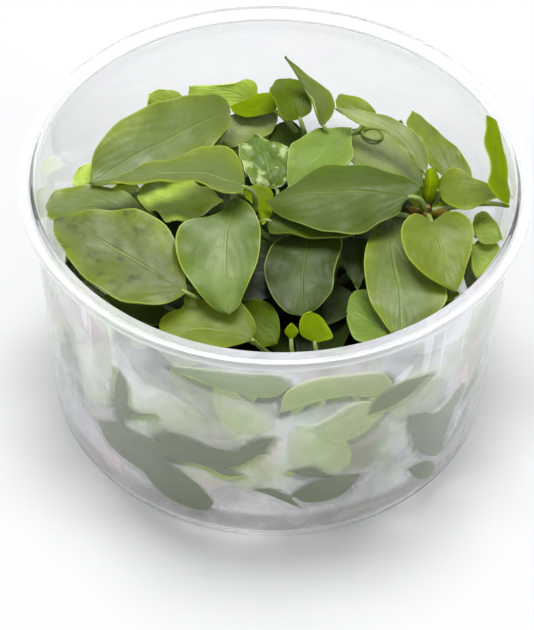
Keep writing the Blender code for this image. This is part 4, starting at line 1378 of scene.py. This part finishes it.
def painted_lips_at(y, radius, height):
    """The shares of painted grey reflection and of painted white highlight at a place on the
    flange.
    """
    grey = 0.25 + 0.75 * (y / radius) ** 2 if radius > 49.6 and 57.3 < height < 58.85 else 0.0
    if radius < 47.65 and 55.0 < height < 58.9:
        return grey, 0.16
    if radius > 48.5 and height < 57.3:
        return grey, 1.0
    return grey, 0.25 if 48.6 < radius < 49.6 and height > 58.85 else 0.0


corners, faces = [], []
for piece in leaf_pieces:
    start = len(corners)
    corners.extend(vertex.co.copy() for vertex in piece.data.vertices)
    faces.extend([start + index for index in face.vertices] for face in piece.data.polygons)
leaves_tree = BVHTree.FromPolygons(corners, faces)
values = {name: np.zeros(len(cup.data.vertices)) for name in ("fog", "grey_lip", "white_lip")}
for number, vertex in enumerate(cup.data.vertices):
    x, y, height = vertex.co / MM
    radius = (x * x + y * y) ** 0.5
    if radius > 1.0:
        values["grey_lip"][number], values["white_lip"][number] = painted_lips_at(y, radius, height)
    if 2.5 <= height <= 57.9 and abs(radius - wall_radius(height)) <= 0.15:
        distance = leaves_tree.find_nearest(vertex.co, FAR * MM)[3]
        gap = FAR if distance is None else distance / MM
        values["fog"][number] = haze_and_side_reflection_at(x, y, height, gap)
for name, shares in values.items():
    cup.data.attributes.new(name, "FLOAT", "POINT").data.foreach_set("value", shares)
print("hazed vertices:", int((values["fog"] > 0.5).sum()))

# %% [markdown]
# The plastic is the clear recipe again, with the haze as its cloud. Soft noise makes it patchy,
# facets bent by more noise break it up as packed leaves behind it do, and noise drawn out upwards
# gives pale streaks where the haze is strongest, at the sides: painted highlights. Its tone wanders
# a little between cool white, pink and green, and turns grey and near-white on the flange's painted
# lines.

# %% Clear hazed plastic
recipe = Recipe(bpy.data.materials.new("clear_plastic_fogged"))
math, mix, stretch, noise = recipe.math, recipe.mix, recipe.stretch, recipe.noise
place = recipe.add("ShaderNodeTexCoord", out="Object")
haze_with_painted_reflection, grey_lip, white_lip = [
    recipe.add("ShaderNodeAttribute", out="Fac", attribute_name=name) for name in values
]

# facets, bent by a noise so that none has a straight edge
bend = recipe.add("ShaderNodeTexNoise", {"Vector": place, "Scale": 60.0}, "Color")
swirl = {0: bend, 1: (0.03, 0.03, 0.03), 2: place}
swirl = recipe.add("ShaderNodeVectorMath", swirl, operation="MULTIPLY_ADD")
facets = recipe.add("ShaderNodeTexVoronoi", {"Vector": swirl, "Scale": 95.0}, "Color")
facet = recipe.add("ShaderNodeSeparateXYZ", {"Vector": facets}, "X")
leafy = recipe.add("ShaderNodeSeparateXYZ", {"Vector": facets}, "Y")

# how much veil: patches and facets, painted highlight streaks, and the flange's painted grey
# reflection and painted highlights
patchy = stretch(noise(place, 110.0, 3.0), 0.32, 0.68, 0.30, 0.60)
patchy = math("MULTIPLY_ADD", facet, 0.22, patchy)
veil_and_painted_light = math("MULTIPLY_ADD", haze_with_painted_reflection, patchy, 0.035)
upright = {"Vector": place, "Scale": (1.0, 1.0, 0.07)}
drawn_out = recipe.add("ShaderNodeMapping", upright)
painted_highlight_streak = stretch(noise(drawn_out, 330.0), 0.56, 0.66, 0.0, 0.6)
veil_and_painted_light = math("MULTIPLY_ADD", painted_highlight_streak, stretch(haze_with_painted_reflection, 1.05, 1.5), veil_and_painted_light)
# the flange's grey outer face, strongest at the front and back: painted reflection
veil_and_painted_light = math("MULTIPLY_ADD", grey_lip, 0.60, veil_and_painted_light)
# pale lines under the flange, inside the mouth and on its top: painted highlights
veil_and_painted_light = math("MULTIPLY_ADD", white_lip, 0.95, veil_and_painted_light)
roughness = math("MULTIPLY_ADD", haze_with_painted_reflection, 0.13, 0.03)

# its tone
slanted = {"Vector": place, "Scale": (1.0, 1.0, 0.45), "Rotation": (0.5, 0.3, 0.0)}
slanted = recipe.add("ShaderNodeMapping", slanted)
pinkish = stretch(noise(slanted, 85.0), 0.52, 0.66, 0.0, 0.7)
greenish = stretch(noise(slanted, 60.0), 0.42, 0.30, 0.0, 0.7)
tone = mix(pinkish, (0.92, 0.92, 0.97), (0.97, 0.82, 0.88))
tone = mix(greenish, tone, (0.70, 0.86, 0.72))
tone = mix(stretch(leafy, 0.55, 0.95, 0.0, 0.45), tone, (0.74, 0.84, 0.62))
# grey on the flange's outer face, painted reflection
tone = mix(grey_lip, tone, (0.42, 0.43, 0.42))
# near-white on the flange's lines, painted highlights
tone = mix(white_lip, tone, (0.95, 0.95, 0.96))
plastic = clear_surface(recipe, (0.985, 0.99, 0.995), 1.46, roughness, veil_and_painted_light, tone)
dress(coated(cup, plastic), "cup", angle=35)
print("plastic:", plastic.name)
